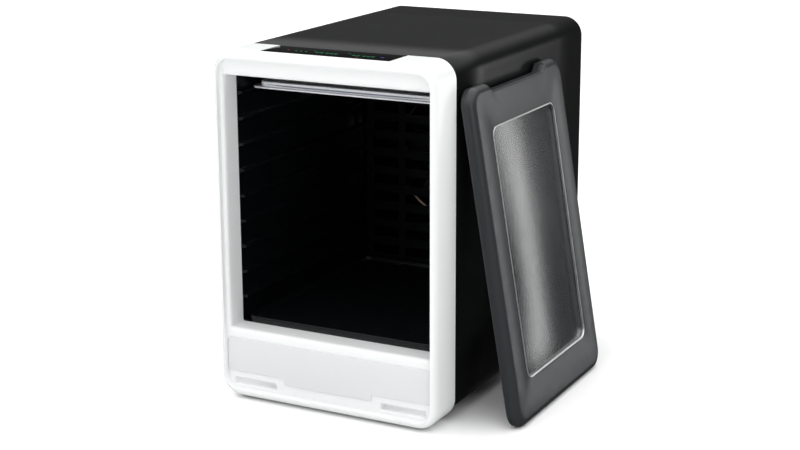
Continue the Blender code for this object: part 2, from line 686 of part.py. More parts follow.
def makeRearScrews(cover, parent):
    """Four pan-head screws sunk into the rear cover's corners."""
    for i, (x, z) in enumerate(COVER_SCREWS):
        start = COVER_Y + COVER_T - SCREW_HEAD
        disc("cover_screw_%d" % (i + 1), (x, start, z), SCREW_R, SCREW_HEAD - 0.2, "dark_steel",
             "Y", 16, parent)
        sink = disc("screw_cutter_%d" % (i + 1), (x, start - GAP, z), SCREW_R + GAP,
                    SCREW_HEAD + 1, "white", "Y", 16, parent)
        cut(cover, sink)


# trays
def makeTray(parent):
    """The one tray in use, on the highest rails: a walled frame on a flange, with its mesh sheet let in on top."""
    low = TOP_RAIL + GAP
    high = low + TRAY_H
    ledge = high - TRAY_SHEET_T - GAP
    body, nose = TRAY_BODY_HALF_W, TRAY_NOSE
    wall, shelf, clear = 2.0, 6.0, 2.6    # clear keeps the sheet's square corners off the rounded wall
    rings = ((TRAY_HALF_W, 0, low, 12), (TRAY_HALF_W, 0, low + TRAY_FLANGE_T, 12),
             (body, nose, low + TRAY_FLANGE_T, 12), (body, nose, high, 12),
             (body - wall, nose + wall, high, 8), (body - wall, nose + wall, ledge, 8),
             (body - shelf, nose + shelf, ledge, 5), (body - shelf, nose + shelf, low, 5))
    mesh = bmesh.new()
    loops = []
    for halfW, inset, z, radius in rings:
        outline = roundedRect(halfW, TRAY_FRONT + inset, TRAY_BACK - inset, radius)
        loops.append([mesh.verts.new((x, y, z)) for x, y in outline])
    count = len(loops[0])
    for k in range(len(loops)):
        here, there = loops[k], loops[(k + 1) % len(loops)]
        for i in range(count):
            j = (i + 1) % count
            mesh.faces.new((here[i], here[j], there[j], there[i]))
    smooth(addMesh("tray_frame", mesh, "tray", parent))
    edge = body - wall - clear
    ends = nose + wall + clear
    columns = lines(-edge, edge, TRAY_BAR, TRAY_CELLS)
    rows = lines(TRAY_FRONT + ends, TRAY_BACK - ends, TRAY_BAR, TRAY_CELLS)
    lattice("tray_mesh", columns, rows, lambda i, k: i % 2 and k % 2, ledge + GAP / 2,
            ledge + GAP / 2 + TRAY_SHEET_T, "sheet", "Z", parent)


def makeDripTray(parent):
    """Shallow pan on the chamber floor."""
    low = OPEN_LOW + GAP
    high = low + DRIP_H
    front, back = DRIP_FRONT, DRIP_BACK
    rings = ((DRIP_HALF_W - 3, front + 3, back - 3, 12, low),
             (DRIP_HALF_W - 1, front + 1, back - 1, 14, low + 2),
             (DRIP_HALF_W, front, back, 15, high),
             (DRIP_HALF_W - 2.5, front + 2.5, back - 2.5, 12.5, high),
             (DRIP_HALF_W - 4, front + 4, back - 4, 11, low + 3.2),
             (DRIP_HALF_W - 8, front + 8, back - 8, 8, low + 1.8))
    panFrom("drip_tray", rings, "black_plastic", parent)


# door
def makeDoor(parent):
    """Door in its own frame: charcoal shell, smoked window in a bright trim, inner frame and seal."""
    turnSteps = (0, 22.5, 45, 67.5, 90)
    rings = [(DOOR_HALF_W, 0.0, DOOR_H, DOOR_R, DOOR_SHELL_T)]
    for degrees in turnSteps:
        turn = math.radians(degrees)
        inset = DOOR_ROUND * (1 - math.cos(turn))
        rings.append((DOOR_HALF_W - inset, inset, DOOR_H - inset, DOOR_R - inset / 2,
                      DOOR_ROUND * (1 - math.sin(turn))))
    cavityTop = DOOR_H - GRIP_DEPTH - 5
    rings += [
        (WINDOW_HALF_W, WINDOW_LOW, WINDOW_HIGH, WINDOW_R, 0.0),
        (WINDOW_HALF_W, WINDOW_LOW, WINDOW_HIGH, WINDOW_R, DOOR_SHELL_T),
        (WINDOW_HALF_W + WALL, WINDOW_LOW - WALL, WINDOW_HIGH + WALL, WINDOW_R + WALL, DOOR_SHELL_T),
        (WINDOW_HALF_W + WALL, WINDOW_LOW - WALL, WINDOW_HIGH + WALL, WINDOW_R + WALL, WALL),
        (DOOR_HALF_W - DOOR_ROUND, DOOR_ROUND, cavityTop, DOOR_R - 8, WALL),
        (DOOR_HALF_W - 3.5, 3.5, cavityTop + 2, DOOR_R - 3, DOOR_ROUND),
        (DOOR_HALF_W - 3, 3, cavityTop + 2, DOOR_R - 3, DOOR_SHELL_T),
    ]
    shell = ringLoft("door_outer_shell", rings, "charcoal", parent)
    frameRings = [
        (DOOR_HALF_W - 0.8, 0.8, DOOR_H - 0.8, DOOR_R - 0.8, DOOR_SHELL_T + GAP),
        (DOOR_HALF_W - 0.8, 0.8, DOOR_H - 0.8, DOOR_R - 0.8, DOOR_BACK - 1.5),
        (DOOR_HALF_W - 2.3, 2.3, DOOR_H - 2.3, DOOR_R - 2.3, DOOR_BACK),
        (WINDOW_HALF_W - 9, WINDOW_LOW + 9, WINDOW_HIGH - 9, WINDOW_R - 6, DOOR_BACK),
        (WINDOW_HALF_W - 10, WINDOW_LOW + 10, WINDOW_HIGH - 10, WINDOW_R - 7, DOOR_SHELL_T + GAP),
    ]
    inner = ringLoft("door_inner_frame", frameRings, "charcoal", parent)
    bottom = DOOR_H - GRIP_DEPTH
    grip = [(-GRIP_HALF_W - 5, DOOR_H + 5), (-GRIP_HALF_W, DOOR_H - 4),
            (-GRIP_HALF_W + 6, bottom + 2), (-GRIP_HALF_W + 10, bottom),
            (GRIP_HALF_W - 10, bottom), (GRIP_HALF_W - 6, bottom + 2),
            (GRIP_HALF_W, DOOR_H - 4), (GRIP_HALF_W + 5, DOOR_H + 5)]
    notch = prism("grip_cutter", grip, -2, DOOR_T + 2, "white", "Y", parent)
    cut(shell, notch)
    cut(inner, notch)
    edge = WINDOW_HALF_W - GAP
    ringLoft("window_trim", [
        (edge, WINDOW_LOW + GAP, WINDOW_HIGH - GAP, WINDOW_R - GAP, 3.4),
        (edge, WINDOW_LOW + GAP, WINDOW_HIGH - GAP, WINDOW_R - GAP, 0.7),
        (edge - 0.7, WINDOW_LOW + GAP + 0.7, WINDOW_HIGH - GAP - 0.7, WINDOW_R - 1, 0.1),
        (edge - TRIM_W, WINDOW_LOW + GAP + TRIM_W, WINDOW_HIGH - GAP - TRIM_W, WINDOW_R - 2.8, 0.4),
        (edge - TRIM_W, WINDOW_LOW + GAP + TRIM_W, WINDOW_HIGH - GAP - TRIM_W, WINDOW_R - 2.8, 3.4),
    ], "silver", parent)
    pane = roundedRect(edge, WINDOW_LOW + GAP, WINDOW_HIGH - GAP, WINDOW_R - GAP)
    prism("window_pane", pane, 3.7, 7.7, "smoke", "Y", parent)
    ringLoft("window_gasket", [
        (edge, WINDOW_LOW + GAP, WINDOW_HIGH - GAP, WINDOW_R - GAP, 8.0),
        (edge - 6, WINDOW_LOW + 6, WINDOW_HIGH - 6, WINDOW_R - 6, 8.0),
        (edge - 6, WINDOW_LOW + 6, WINDOW_HIGH - 6, WINDOW_R - 6, DOOR_SHELL_T),
        (edge, WINDOW_LOW + GAP, WINDOW_HIGH - GAP, WINDOW_R - GAP, DOOR_SHELL_T),
    ], "silicone", parent)
    sealTop = DOOR_H - GRIP_DEPTH - 8
    ringLoft("door_seal", [
        (DOOR_HALF_W - 13, 34, sealTop, 14, DOOR_BACK + GAP),
        (DOOR_HALF_W - 13, 34, sealTop, 14, DOOR_T - 0.6),
        (DOOR_HALF_W - 14.5, 35.5, sealTop - 1.5, 12.5, DOOR_T),
        (DOOR_HALF_W - 17, 38, sealTop - 4, 10, DOOR_BACK + GAP),
    ], "silicone", parent)
    for name, side in (("door_hook_left", -1), ("door_hook_right", 1)):
        tip = DOOR_BACK + HOOK_REACH
        outline = [(DOOR_BACK + GAP, 9), (tip, 9), (tip, 12), (tip - 3, 16.5), (DOOR_BACK + GAP, 16.5)]
        prism(name, outline, side * HOOK_INNER, side * HOOK_OUTER, "charcoal", "X", parent)
    for name, side in (("door_magnet_left", -1), ("door_magnet_right", 1)):
        block(name, (side * 115 - 14, DOOR_SHELL_T - GAP - 4, cavityTop - 14),
              (side * 115 + 14, DOOR_SHELL_T - GAP, cavityTop - 4), "dark_steel", parent)
    for i, (x, z) in enumerate(DOOR_SCREWS):
        disc("door_screw_%d" % (i + 1), (x, DOOR_BACK + GAP, z), SCREW_R, 1.4, "steel", "Y", 16, parent)


# assembly
def makeEmpty(name, place4x4):
    marker = bpy.data.objects.new(name, None)
    bpy.context.collection.objects.link(marker)
    marker.matrix_world = place4x4
    return marker


def main():
    for old in list(bpy.data.objects):
        bpy.data.objects.remove(old, do_unlink=True)
    cabinet = makeEmpty("cabinet_frame", Matrix.Translation((CABINET_X * MM, 0, 0)))
    makeBezel(cabinet)
    makeLowerPanel(cabinet)
    makeHousing(cabinet)
    cover = makeRearCover(cabinet)
    makeRearScrews(cover, cabinet)
    makeBase(cabinet)
    makeControls(cabinet)
    makeChamber(cabinet)
    makeFanPlate(cabinet)
    makeMotor(cabinet)
    makeHeater(cabinet)
    makeElectrics(cabinet)
    makeTray(cabinet)
    makeDripTray(cabinet)
    fanAxis = makeEmpty("fan_axis", Matrix.Translation((CABINET_X * MM, 0, FAN_Z * MM)))
    makeFan(fanAxis)
    lowest = DOOR_BACK * math.sin(DOOR_LEAN) - 0.8 * math.cos(DOOR_LEAN)
    edge = Matrix.Translation(((CABINET_X + DOOR_EDGE_X) * MM, DOOR_MID_Y * MM, lowest * MM))
    lean = Matrix.Rotation(-DOOR_LEAN, 4, "Y") @ Matrix.Rotation(math.radians(90), 4, "Z")
    makeDoor(makeEmpty("door_frame", edge @ lean))
    bpy.context.view_layer.update()


main()
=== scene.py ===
import math

import bmesh
import bpy
import numpy as np
from mathutils import Matrix, Vector


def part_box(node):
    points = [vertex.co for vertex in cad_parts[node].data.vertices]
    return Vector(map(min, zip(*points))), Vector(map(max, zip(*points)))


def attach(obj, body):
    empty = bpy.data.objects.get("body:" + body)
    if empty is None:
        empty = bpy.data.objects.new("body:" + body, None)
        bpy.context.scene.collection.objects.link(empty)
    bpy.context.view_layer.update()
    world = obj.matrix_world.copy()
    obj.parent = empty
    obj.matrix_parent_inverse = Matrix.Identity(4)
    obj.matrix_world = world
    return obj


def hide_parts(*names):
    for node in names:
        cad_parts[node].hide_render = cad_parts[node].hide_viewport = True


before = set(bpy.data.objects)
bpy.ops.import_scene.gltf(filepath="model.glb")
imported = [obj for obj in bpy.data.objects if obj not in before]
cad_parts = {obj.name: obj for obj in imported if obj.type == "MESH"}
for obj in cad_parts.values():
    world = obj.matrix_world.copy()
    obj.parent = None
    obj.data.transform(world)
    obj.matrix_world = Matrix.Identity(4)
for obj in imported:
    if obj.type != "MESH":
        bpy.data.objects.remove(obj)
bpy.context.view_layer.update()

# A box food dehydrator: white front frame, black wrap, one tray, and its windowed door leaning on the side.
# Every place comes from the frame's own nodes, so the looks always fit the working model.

mm = 0.001
scene = bpy.context.scene
print("frame loaded:", len(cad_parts), "nodes")


# materials: each one a finish with its grain sized from millimetres; the tray wall's darker grey and the
# near-black zinc sheet and wire sleeve carry painted shade

def linear(hexColour):
    # sRGB hex text to the linear colour a shader wants: ((c + 0.055) / 1.055) ** 2.4 above the toe.
    parts = [int(hexColour[i:i + 2], 16) / 255 for i in (1, 3, 5)]
    return tuple(c / 12.92 if c <= 0.04045 else ((c + 0.055) / 1.055) ** 2.4 for c in parts) + (1.0,)


def addNode(tree, kind, settings=(), **links):
    # Adds one node: settings set its fields or its sockets by name, links feed its sockets.
    node = tree.nodes.new("ShaderNode" + kind)
    for name, value in dict(settings).items():
        if name in node.inputs:
            node.inputs[name].default_value = value
        else:
            setattr(node, name, value)
    for name, source in links.items():
        socket = node.inputs[int(name[1:])] if name[0] == "i" and name[1:].isdigit() else node.inputs[name]
        tree.links.new(source, socket)
    return node


def startFinish(name, **fixed):
    # A material with its shader's own sockets set, and the object's coordinates ready.
    material = bpy.data.materials.new(name)
    material.use_nodes = True
    tree = material.node_tree
    shader = tree.nodes["Principled BSDF"]
    for socket, value in fixed.items():
        shader.inputs[socket.replace("_", " ")].default_value = value
    place = addNode(tree, "TexCoord").outputs["Object"]
    return material, tree, shader, place


def perMm(size):
    # Noise scale for a feature of that many millimetres.
    return 1.0 / (size * mm)


def mouldedFinish(name, colour, other, roughness, spread, grain, bump, **fixed):
    # Injection-moulded plastic: a slow tint from colour to other, patchy gloss, and a fine spark grain.
    material, tree, shader, place = startFinish(name, **{"IOR": 1.53, **fixed})
    tint = addNode(tree, "TexNoise", {"Scale": perMm(90), "Detail": 3.0}, Vector=place)
    mix = addNode(tree, "Mix", {"data_type": "RGBA"}, i0=tint.outputs["Fac"])
    mix.inputs[6].default_value = linear(colour)
    mix.inputs[7].default_value = linear(other)
    tree.links.new(mix.outputs[2], shader.inputs["Base Color"])
    wear = addNode(tree, "TexNoise", {"Scale": perMm(14), "Detail": 4.0, "Roughness": 0.6}, Vector=place)
    gloss = addNode(tree, "MapRange", {"From Min": 0.3, "From Max": 0.7, "To Min": roughness - spread,
                                       "To Max": roughness + spread}, Value=wear.outputs["Fac"])
    tree.links.new(gloss.outputs["Result"], shader.inputs["Roughness"])
    fine = addNode(tree, "TexNoise", {"Scale": perMm(grain), "Detail": 2.0}, Vector=place)
    relief = addNode(tree, "Bump", {"Strength": bump, "Distance": 0.1 * mm}, Height=fine.outputs["Fac"])
    tree.links.new(relief.outputs["Normal"], shader.inputs["Normal"])
    return material


def metalFinish(name, colour, roughness, streak, along, **fixed):
    # Sheet or turned metal: streaks drawn out along one axis vary the gloss and the relief.
    material, tree, shader, place = startFinish(name, Metallic=1.0, **fixed)
    stretch = [1.0, 1.0, 1.0]
    stretch["XYZ".index(along)] = 0.06
    drawn = addNode(tree, "Mapping", {"Scale": stretch}, Vector=place)
    lines = addNode(tree, "TexNoise", {"Scale": perMm(streak), "Detail": 4.0}, Vector=drawn.outputs["Vector"])
    gloss = addNode(tree, "MapRange", {"From Min": 0.25, "From Max": 0.75, "To Min": roughness * 0.7,
                                       "To Max": roughness * 1.4}, Value=lines.outputs["Fac"])
    tree.links.new(gloss.outputs["Result"], shader.inputs["Roughness"])
    mix = addNode(tree, "Mix", {"data_type": "RGBA"}, i0=lines.outputs["Fac"])
    mix.inputs[6].default_value = linear(colour)
    mix.inputs[7].default_value = tuple(min(1.0, 1.25 * c) for c in linear(colour)[:3]) + (1.0,)
    tree.links.new(mix.outputs[2], shader.inputs["Base Color"])
    relief = addNode(tree, "Bump", {"Strength": 0.12, "Distance": 0.05 * mm}, Height=lines.outputs["Fac"])
    tree.links.new(relief.outputs["Normal"], shader.inputs["Normal"])
    return material


def paneFinish(name, colour, **fixed):
    # Polished sheet, smoked or printed: almost no grain, only faint polishing haze in the gloss.
    material, tree, shader, place = startFinish(name, Base_Color=linear(colour), **fixed)
    haze = addNode(tree, "TexNoise", {"Scale": perMm(45), "Detail": 3.0}, Vector=place)
    low = shader.inputs["Roughness"].default_value
    gloss = addNode(tree, "MapRange", {"From Min": 0.3, "From Max": 0.7, "To Min": low * 0.96,
                                       "To Max": low * 1.06}, Value=haze.outputs["Fac"])
    tree.links.new(gloss.outputs["Result"], shader.inputs["Roughness"])
    return material


def boardFinish():
    # Glass-epoxy circuit board: green mask with a faint grid of tracks in relief.
    material, tree, shader, place = startFinish("etched epoxy board", Coat_Weight=0.4)
    tracks = addNode(tree, "TexBrick", {"Scale": perMm(9), "Mortar Size": 0.05,
                                        "Color1": linear("#0E4A26"), "Color2": linear("#125A2E"),
                                        "Mortar": linear("#2F7A45")}, Vector=place)
    tree.links.new(tracks.outputs["Color"], shader.inputs["Base Color"])
    relief = addNode(tree, "Bump", {"Strength": 0.3, "Distance": 0.1 * mm}, Height=tracks.outputs["Fac"])
    tree.links.new(relief.outputs["Normal"], shader.inputs["Normal"])
    shader.inputs["Roughness"].default_value = 0.4
    return material


finish = {
    # glossy white ABS, as cabinets are moulded: nearly even, with a soft sheen along the roundings
    "white": mouldedFinish("gloss moulded white ABS", "#EEF0F0", "#F1F3F3", 0.34, 0.02, 1.6, 0.02,
                           Coat_Weight=0.10, Coat_Roughness=0.2),
    "grey": mouldedFinish("satin moulded grey ABS", "#DCDDDF", "#E0E1E3", 0.42, 0.03, 0.8, 0.05),
    # satin powder coat on steel: orange peel about 1.5 mm across, drawn a little coarser so it shows
    "wrap": mouldedFinish("satin powder-coated steel", "#0C0D0D", "#101111", 0.32, 0.02, 1.8, 0.06,
                          Specular_IOR_Level=0.16),
    "cover": mouldedFinish("spark-textured black ABS", "#141515", "#191A1A", 0.52, 0.05, 0.8, 0.35),
    "liner": mouldedFinish("gloss moulded black polypropylene", "#06080A", "#0A0D10", 0.36, 0.04, 1.6, 0.05,
                           Specular_IOR_Level=0.3),
    "door": mouldedFinish("satin moulded charcoal ABS", "#2B2E30", "#2F3234", 0.34, 0.02, 1.2, 0.03,
                          Specular_IOR_Level=0.35),
    "tray": mouldedFinish("natural moulded polypropylene", "#E6E9ED", "#EEF0F3", 0.38, 0.05, 0.8, 0.10),
    # painted shade: this darker grey stands for the shadow on the tray frame's upright wall under the bezel
    "mesh": mouldedFinish("grey polypropylene for painted shade", "#7F8292", "#8A8D9C", 0.45, 0.05, 0.8, 0.12),
    "sheet": mouldedFinish("pale moulded polypropylene mesh", "#E2E5EA", "#E9ECF0", 0.42, 0.05, 0.8, 0.12),
    "rubber": mouldedFinish("moulded black rubber", "#101010", "#181818", 0.85, 0.06, 0.7, 0.35),
    "silicone": mouldedFinish("extruded grey silicone", "#3A3C3E", "#45484A", 0.62, 0.05, 0.8, 0.12),
    "socket": mouldedFinish("moulded nylon, natural", "#C9CBCC", "#D2D4D4", 0.45, 0.05, 0.7, 0.12),
    # painted shade: the red wire sleeve darkened to near black, so the leads seen through the slots look as
    # dark as the shaded chamber
    "sleeve": mouldedFinish("silicone-sleeved wire", "#2B1613", "#331A16", 0.5, 0.05, 0.6, 0.15),
    "zinc": metalFinish("zinc-plated steel sheet", "#8E9092", 0.32, 1.5, "X"),
    # painted shade: zinc sheet made near black so the parts behind the baffle slots look as dark as the
    # shaded chamber
    "plate": metalFinish("zinc sheet with painted shade", "#1C1D1E", 0.45, 1.5, "X"),
    "motor": metalFinish("pressed motor steel", "#4B4C4D", 0.38, 1.2, "Y"),
    "bright": metalFinish("turned bright steel", "#A9ABAD", 0.22, 0.6, "Y"),
    "element": metalFinish("heat-tinted stainless tube", "#6E6258", 0.35, 0.8, "X"),
    "trim": metalFinish("bright plated trim", "#F8F9FA", 0.42, 1.0, "Z"),
    "glass": paneFinish("black-printed toughened glass", "#020203", Roughness=0.05, IOR=1.52),
    "smoke": paneFinish("smoked polished acrylic", "#5A5D5F", Roughness=0.20, IOR=1.49,
                        Transmission_Weight=0.80),
    "board": boardFinish(),
}


# surfaces: grids of points worked out as whole arrays

def showGrid(name, points, closeU=True, closeV=True, capU=False, sharp=40.0):
    # points[u, v] joined to quads; each way is closed or open, and open u ends may be capped.
    countU, countV = points.shape[:2]
    u = np.arange(countU if closeU else countU - 1)
    v = np.arange(countV if closeV else countV - 1)
    uu, vv = np.meshgrid(u, v, indexing="ij")
    nextU, nextV = (uu + 1) % countU, (vv + 1) % countV
    quads = np.stack([uu * countV + vv, nextU * countV + vv, nextU * countV + nextV, uu * countV + nextV],
                     axis=-1).reshape(-1, 4)
    verts = points.reshape(-1, 3)
    faces = quads.tolist()
    if capU:
        faces.append(list(range(countV))[::-1])
        faces.append([(countU - 1) * countV + i for i in range(countV)])
    mesh = bpy.data.meshes.new(name)
    mesh.from_pydata(verts.tolist(), [], faces)
    return finishMesh(name, mesh, sharp)


def finishMesh(name, mesh, sharp=40.0):
    # Turns the faces outwards, shades round parts smooth, and puts the mesh in the scene.
    work = bmesh.new()
    work.from_mesh(mesh)
    bmesh.ops.remove_doubles(work, verts=work.verts, dist=0.00002)
    bmesh.ops.recalc_face_normals(work, faces=work.faces)
    if work.calc_volume(signed=True) < 0:
        bmesh.ops.reverse_faces(work, faces=work.faces)
    work.to_mesh(mesh)
    work.free()
    mesh.shade_smooth()
    mesh.set_sharp_from_angle(angle=math.radians(sharp))
    piece = bpy.data.objects.new(name, mesh)
    scene.collection.objects.link(piece)
    return piece


def dress(piece, body, nodes, material):
    # Rides the piece on its body in place of CAD nodes, with a finish.
    piece.data.materials.clear()
    piece.data.materials.append(material)
    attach(piece, body)
    if nodes:
        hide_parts(*nodes)
    return piece


def quarter(count, start=0.0, end=90.0):
    # Angles of a rounding in radians, evenly spread from start to end degrees.
    return np.radians(np.linspace(start, end, count))


def sweepIn(t):
    # 1 - cos t: how far a rounding has moved in at angle t, as a share of its radius.
    return 1 - math.cos(t)


def sweepUp(t):
    # 1 - sin t: how far it still has to rise.
    return 1 - math.sin(t)


def roundedPath(halfW, low, high, radius, arc=14, edge=None):
    # Rounded rectangle (x, z): four quarter arcs, with straight-edge points at shares in edge.
    shares = np.array(edge if edge is not None else [0.5])
    centres = ((halfW - radius, low + radius, -90), (halfW - radius, high - radius, 0),
               (radius - halfW, high - radius, 90), (radius - halfW, low + radius, 180))
    parts = []
    for k, (cx, cz, start) in enumerate(centres):
        turn = np.radians(start + np.linspace(0, 90, arc + 1))
        corner = np.stack([cx + radius * np.cos(turn), cz + radius * np.sin(turn)], axis=1)
        parts.append(corner)
        after = centres[(k + 1) % 4]
        begin = np.radians(after[2])
        target = np.array([after[0] + radius * np.cos(begin), after[1] + radius * np.sin(begin)])
        parts.append(corner[-1] + (target - corner[-1]) * shares[:, None])
    return np.concatenate(parts)


def frameLoft(name, rings, middleX, arc=14, edge=None, sharp=40.0):
    # A closed frame: rounded rectangles (half width, low, high, radius, y) in mm, joined ring to ring.
    points = np.stack([np.column_stack([p[:, 0], np.full(len(p), y), p[:, 1]]) for p, y in
                       ((roundedPath(w, a, b, r, arc, edge), y) for w, a, b, r, y in rings)], axis=1)
    points = points * mm
    points[..., 0] += middleX
    return showGrid(name, points, sharp=sharp)


def refined(node, body, material, bevel=0.4, angle=35.0, segments=2):
    # A copy of a CAD solid, merged and flattened to its true faces, with its edges broken by a bevel.
    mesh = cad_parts[node].data.copy()
    work = bmesh.new()
    work.from_mesh(mesh)
    bmesh.ops.remove_doubles(work, verts=work.verts, dist=0.00002)
    bmesh.ops.dissolve_limit(work, angle_limit=math.radians(0.5), verts=work.verts, edges=work.edges)
    work.to_mesh(mesh)
    work.free()
    mesh.name = node + "_shell"
    mesh.shade_smooth()
    mesh.set_sharp_from_angle(angle=math.radians(angle))
    piece = bpy.data.objects.new(node + "_shell", mesh)
    scene.collection.objects.link(piece)
    if bevel:
        edgeBreak = piece.modifiers.new("edge break", "BEVEL")
        edgeBreak.width = bevel * mm
        edgeBreak.segments = segments
        edgeBreak.limit_method = "ANGLE"
        edgeBreak.angle_limit = math.radians(angle)
        edgeBreak.use_clamp_overlap = True
        edgeBreak.harden_normals = True
    return dress(piece, body, [node], material)


def filleted(corners, radii, inset, arc=6):
    # Outline of a polygon moved inwards by inset, each corner an arc: radius - inset outside, + inside a
    # notch.
    corners = np.array(corners, float)
    before, after = np.roll(corners, 1, axis=0), np.roll(corners, -1, axis=0)
    come, go = corners - before, after - corners
    come /= np.linalg.norm(come, axis=1)[:, None]
    go /= np.linalg.norm(go, axis=1)[:, None]
    turn = come[:, 0] * go[:, 1] - come[:, 1] * go[:, 0]
    halfAngle = np.arctan2(turn, (come * go).sum(axis=1)) / 2
    inward = np.stack([-come[:, 1], come[:, 0]], axis=1)
    moved = corners + inset * (inward + come * -np.tan(halfAngle)[:, None])
    outline = []
    for point, a, b, half, radius in zip(moved, come, go, halfAngle, radii):
        bent = max(0.3, radius - inset if half > 0 else radius + inset)
        reach = bent * abs(math.tan(half))
        side = np.array([-a[1], a[0]]) * (1 if half > 0 else -1)
        centre = point - a * reach + side * bent
        sweep = np.linspace(0, 2 * half, arc + 1)
        spoke = -side * bent
        outline.append(np.stack([centre[0] + spoke[0] * np.cos(sweep) - spoke[1] * np.sin(sweep),
                                 centre[1] + spoke[0] * np.sin(sweep) + spoke[1] * np.cos(sweep)], axis=1))
    return np.concatenate(outline)


def polarMatch(outline, target, centre):
    # Points of the target outline at the same bearing from the centre as each outline point.
    def bearing(points):
        return np.unwrap(np.arctan2(points[:, 1] - centre[1], points[:, 0] - centre[0]))
    at, known = bearing(outline), bearing(target)
    period = 2 * math.pi
    order = np.argsort(known % period)
    turn = (known % period)[order]
    found = [np.interp(at % period, turn, target[order, k], period=period) for k in (0, 1)]
    return np.stack(found, axis=1)


def revolved(name, profile, centre, axis, sides=48, sharp=40.0):
    # A turned part: profile (radius, distance) in mm swept about an axis through the centre.
    profile = np.array(profile, float)
    turn = np.linspace(0, 2 * math.pi, sides, endpoint=False)[:, None]
    r, d = profile[:, 0][None, :], profile[:, 1][None, :]
    a, b, c = r * np.cos(turn), r * np.sin(turn), d + 0 * turn
    order = {"Y": (a, c, b), "Z": (a, b, c)}[axis]
    points = np.stack(order, axis=-1) * mm + np.array(centre)
    closed = bool(np.allclose(profile[0], profile[-1]))
    return showGrid(name, points[:, :-1] if closed else points, closeU=True, closeV=closed, sharp=sharp)


def stacked(name, outlines, sharp=40.0, move=None):
    # Outlines (points, y) with the same count, joined in turn and closed at the first and last.
    rows = [np.column_stack([p[:, 0], np.full(len(p), y), p[:, 1]]) for p, y in outlines]
    points = np.stack(rows, axis=0) * mm
    if move is not None:
        points = move(points)
    return showGrid(name, points, closeU=False, closeV=True, capU=True, sharp=sharp)


def carved(piece, cutters, sharp=40.0):
    # The piece less its cutters (exact difference), as one clean mesh; the cutters are then thrown away.
    for cutter in cutters:
        less = piece.modifiers.new("less", "BOOLEAN")
        less.operation, less.solver, less.object = "DIFFERENCE", "EXACT", cutter
    solid = bpy.data.meshes.new_from_object(piece.evaluated_get(bpy.context.evaluated_depsgraph_get()))
    name = piece.name
    for spent in [piece] + list(cutters):
        bpy.data.objects.remove(spent, do_unlink=True)
    return finishMesh(name, solid, sharp)


# the white front frame
middleX = (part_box("outer_housing")[0].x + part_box("outer_housing")[1].x) / 2
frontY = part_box("front_bezel")[0].y / mm
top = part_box("front_bezel")[1].z / mm

bezel = {"halfW": 155.0, "low": 3.0, "cornerR": 26.5, "depth": 58.8, "roundDepth": 14.0, "rimW": 5.6,
         "rimH": 10.0, "lipHalfW": 148.6, "lipLow": 14.0, "lipHigh": 448.4, "seat": 8.0, "openHalfW": 143.6,
         "openLow": 95.0, "openHigh": 425.5, "face": 14.0, "collar": 38.0, "wall": 2.5}


def buildBezel(b):
    # Rim section: an ellipse quarter (1 - cos t, 1 - sin t) scaled to the rim, then seat, reveal and
    # collar.
    rings = [(b["halfW"], b["low"], top, b["cornerR"], frontY + b["depth"])]
    for t in quarter(13):
        share = 1 - math.cos(t)
        rings.append((b["halfW"] - b["rimW"] * share, b["low"] + b["rimH"] * share, top - b["rimH"] * share,
                      b["cornerR"] - 6 * share, frontY + b["roundDepth"] * sweepUp(t)))
    lip = (b["lipHalfW"], b["lipLow"], b["lipHigh"], b["cornerR"] - 7)
    seat = frontY + b["seat"]
    for t in np.radians((20, 45, 70, 90)):
        grow = 0.8 * sweepUp(t)
        rings.append((lip[0] + grow * 0.2, lip[1] - grow * 0.2, lip[2] + grow * 0.2, lip[3],
                      frontY + 0.4 + 0.8 * sweepIn(t)))
    rings += [lip + (seat - 0.8,), (lip[0] - 0.2, lip[1] + 0.2, lip[2] - 0.2, lip[3], seat - 0.2),
              (lip[0] - 0.9, lip[1] + 0.9, lip[2] - 0.9, lip[3] - 0.5, seat)]
    for share in np.linspace(0, 1, 9):
        ease = math.sin(math.radians(90 * share))
        depth = seat + (b["face"] - b["seat"]) * (1 - math.cos(math.radians(90 * share)))
        rings.append((b["openHalfW"] + 2.2 - 2.2 * ease, b["openLow"] - 5 + 5 * ease,
                      b["openHigh"] + 12 - 12 * ease, 7 - 4.5 * ease, depth))
    hole = (b["openHalfW"], b["openLow"], b["openHigh"], 2.5)
    outer = (b["openHalfW"] + 3, b["openLow"] - 3, b["openHigh"] + 3, 5)
    collar = frontY + b["collar"]
    rings += [hole + (collar,), outer + (collar,), outer + (frontY + b["face"] + 4,),
              (b["openHalfW"] + 5.4, b["openLow"] - 7, b["openHigh"] + 14, 16, seat + 3)]
    inside = (b["halfW"] - b["wall"], b["low"] + b["wall"], top - b["wall"], b["cornerR"] - b["wall"])
    behind = (b["halfW"] - 4.5, 39, b["lipHigh"] + 1, 18)
    rings += [behind + (seat + 3,), behind + (frontY + 22,),
              inside + (frontY + 22,), inside + (frontY + b["depth"],)]
    return frameLoft("front_bezel_moulding", rings, middleX)


def socketCutter(name, side):
    # A hook socket: a slot with a quarter-round mouth; its back slopes from deep inside to shallow at the
    # end.
    middle, halfW, low, high, seat, mouth = 108.0, 31.5, 18.5, 27.5, 8.0, 1.6
    rings = [(mouth, -seat - 2)]
    rings += [(mouth * sweepUp(t), mouth * sweepIn(t)) for t in quarter(6)]
    rings += [(-0.4, None), (-1.4, None)]
    outlines = []
    for k, (grow, y) in enumerate(rings):
        flat = roundedPath(halfW + grow, low - grow, high + grow, 2.0 + grow, 8, np.linspace(0, 1, 8)[1:-1])
        far = (flat[:, 0] + halfW) / (2 * halfW)               # 0 at the middle of the cabinet, 1 at its side
        slope = 9.0 - 4.0 * np.clip(far, 0, 1) + (0 if k == len(rings) - 1 else -1.0)
        deep = np.full(len(flat), y, float) if y is not None else slope
        outlines.append(np.column_stack([side * (flat[:, 0] + middle), frontY + seat + deep, flat[:, 1]]))
    points = np.stack(outlines, axis=0) * mm + np.array([middleX, 0, 0])
    return showGrid(name, points, closeU=False, closeV=True, capU=True)


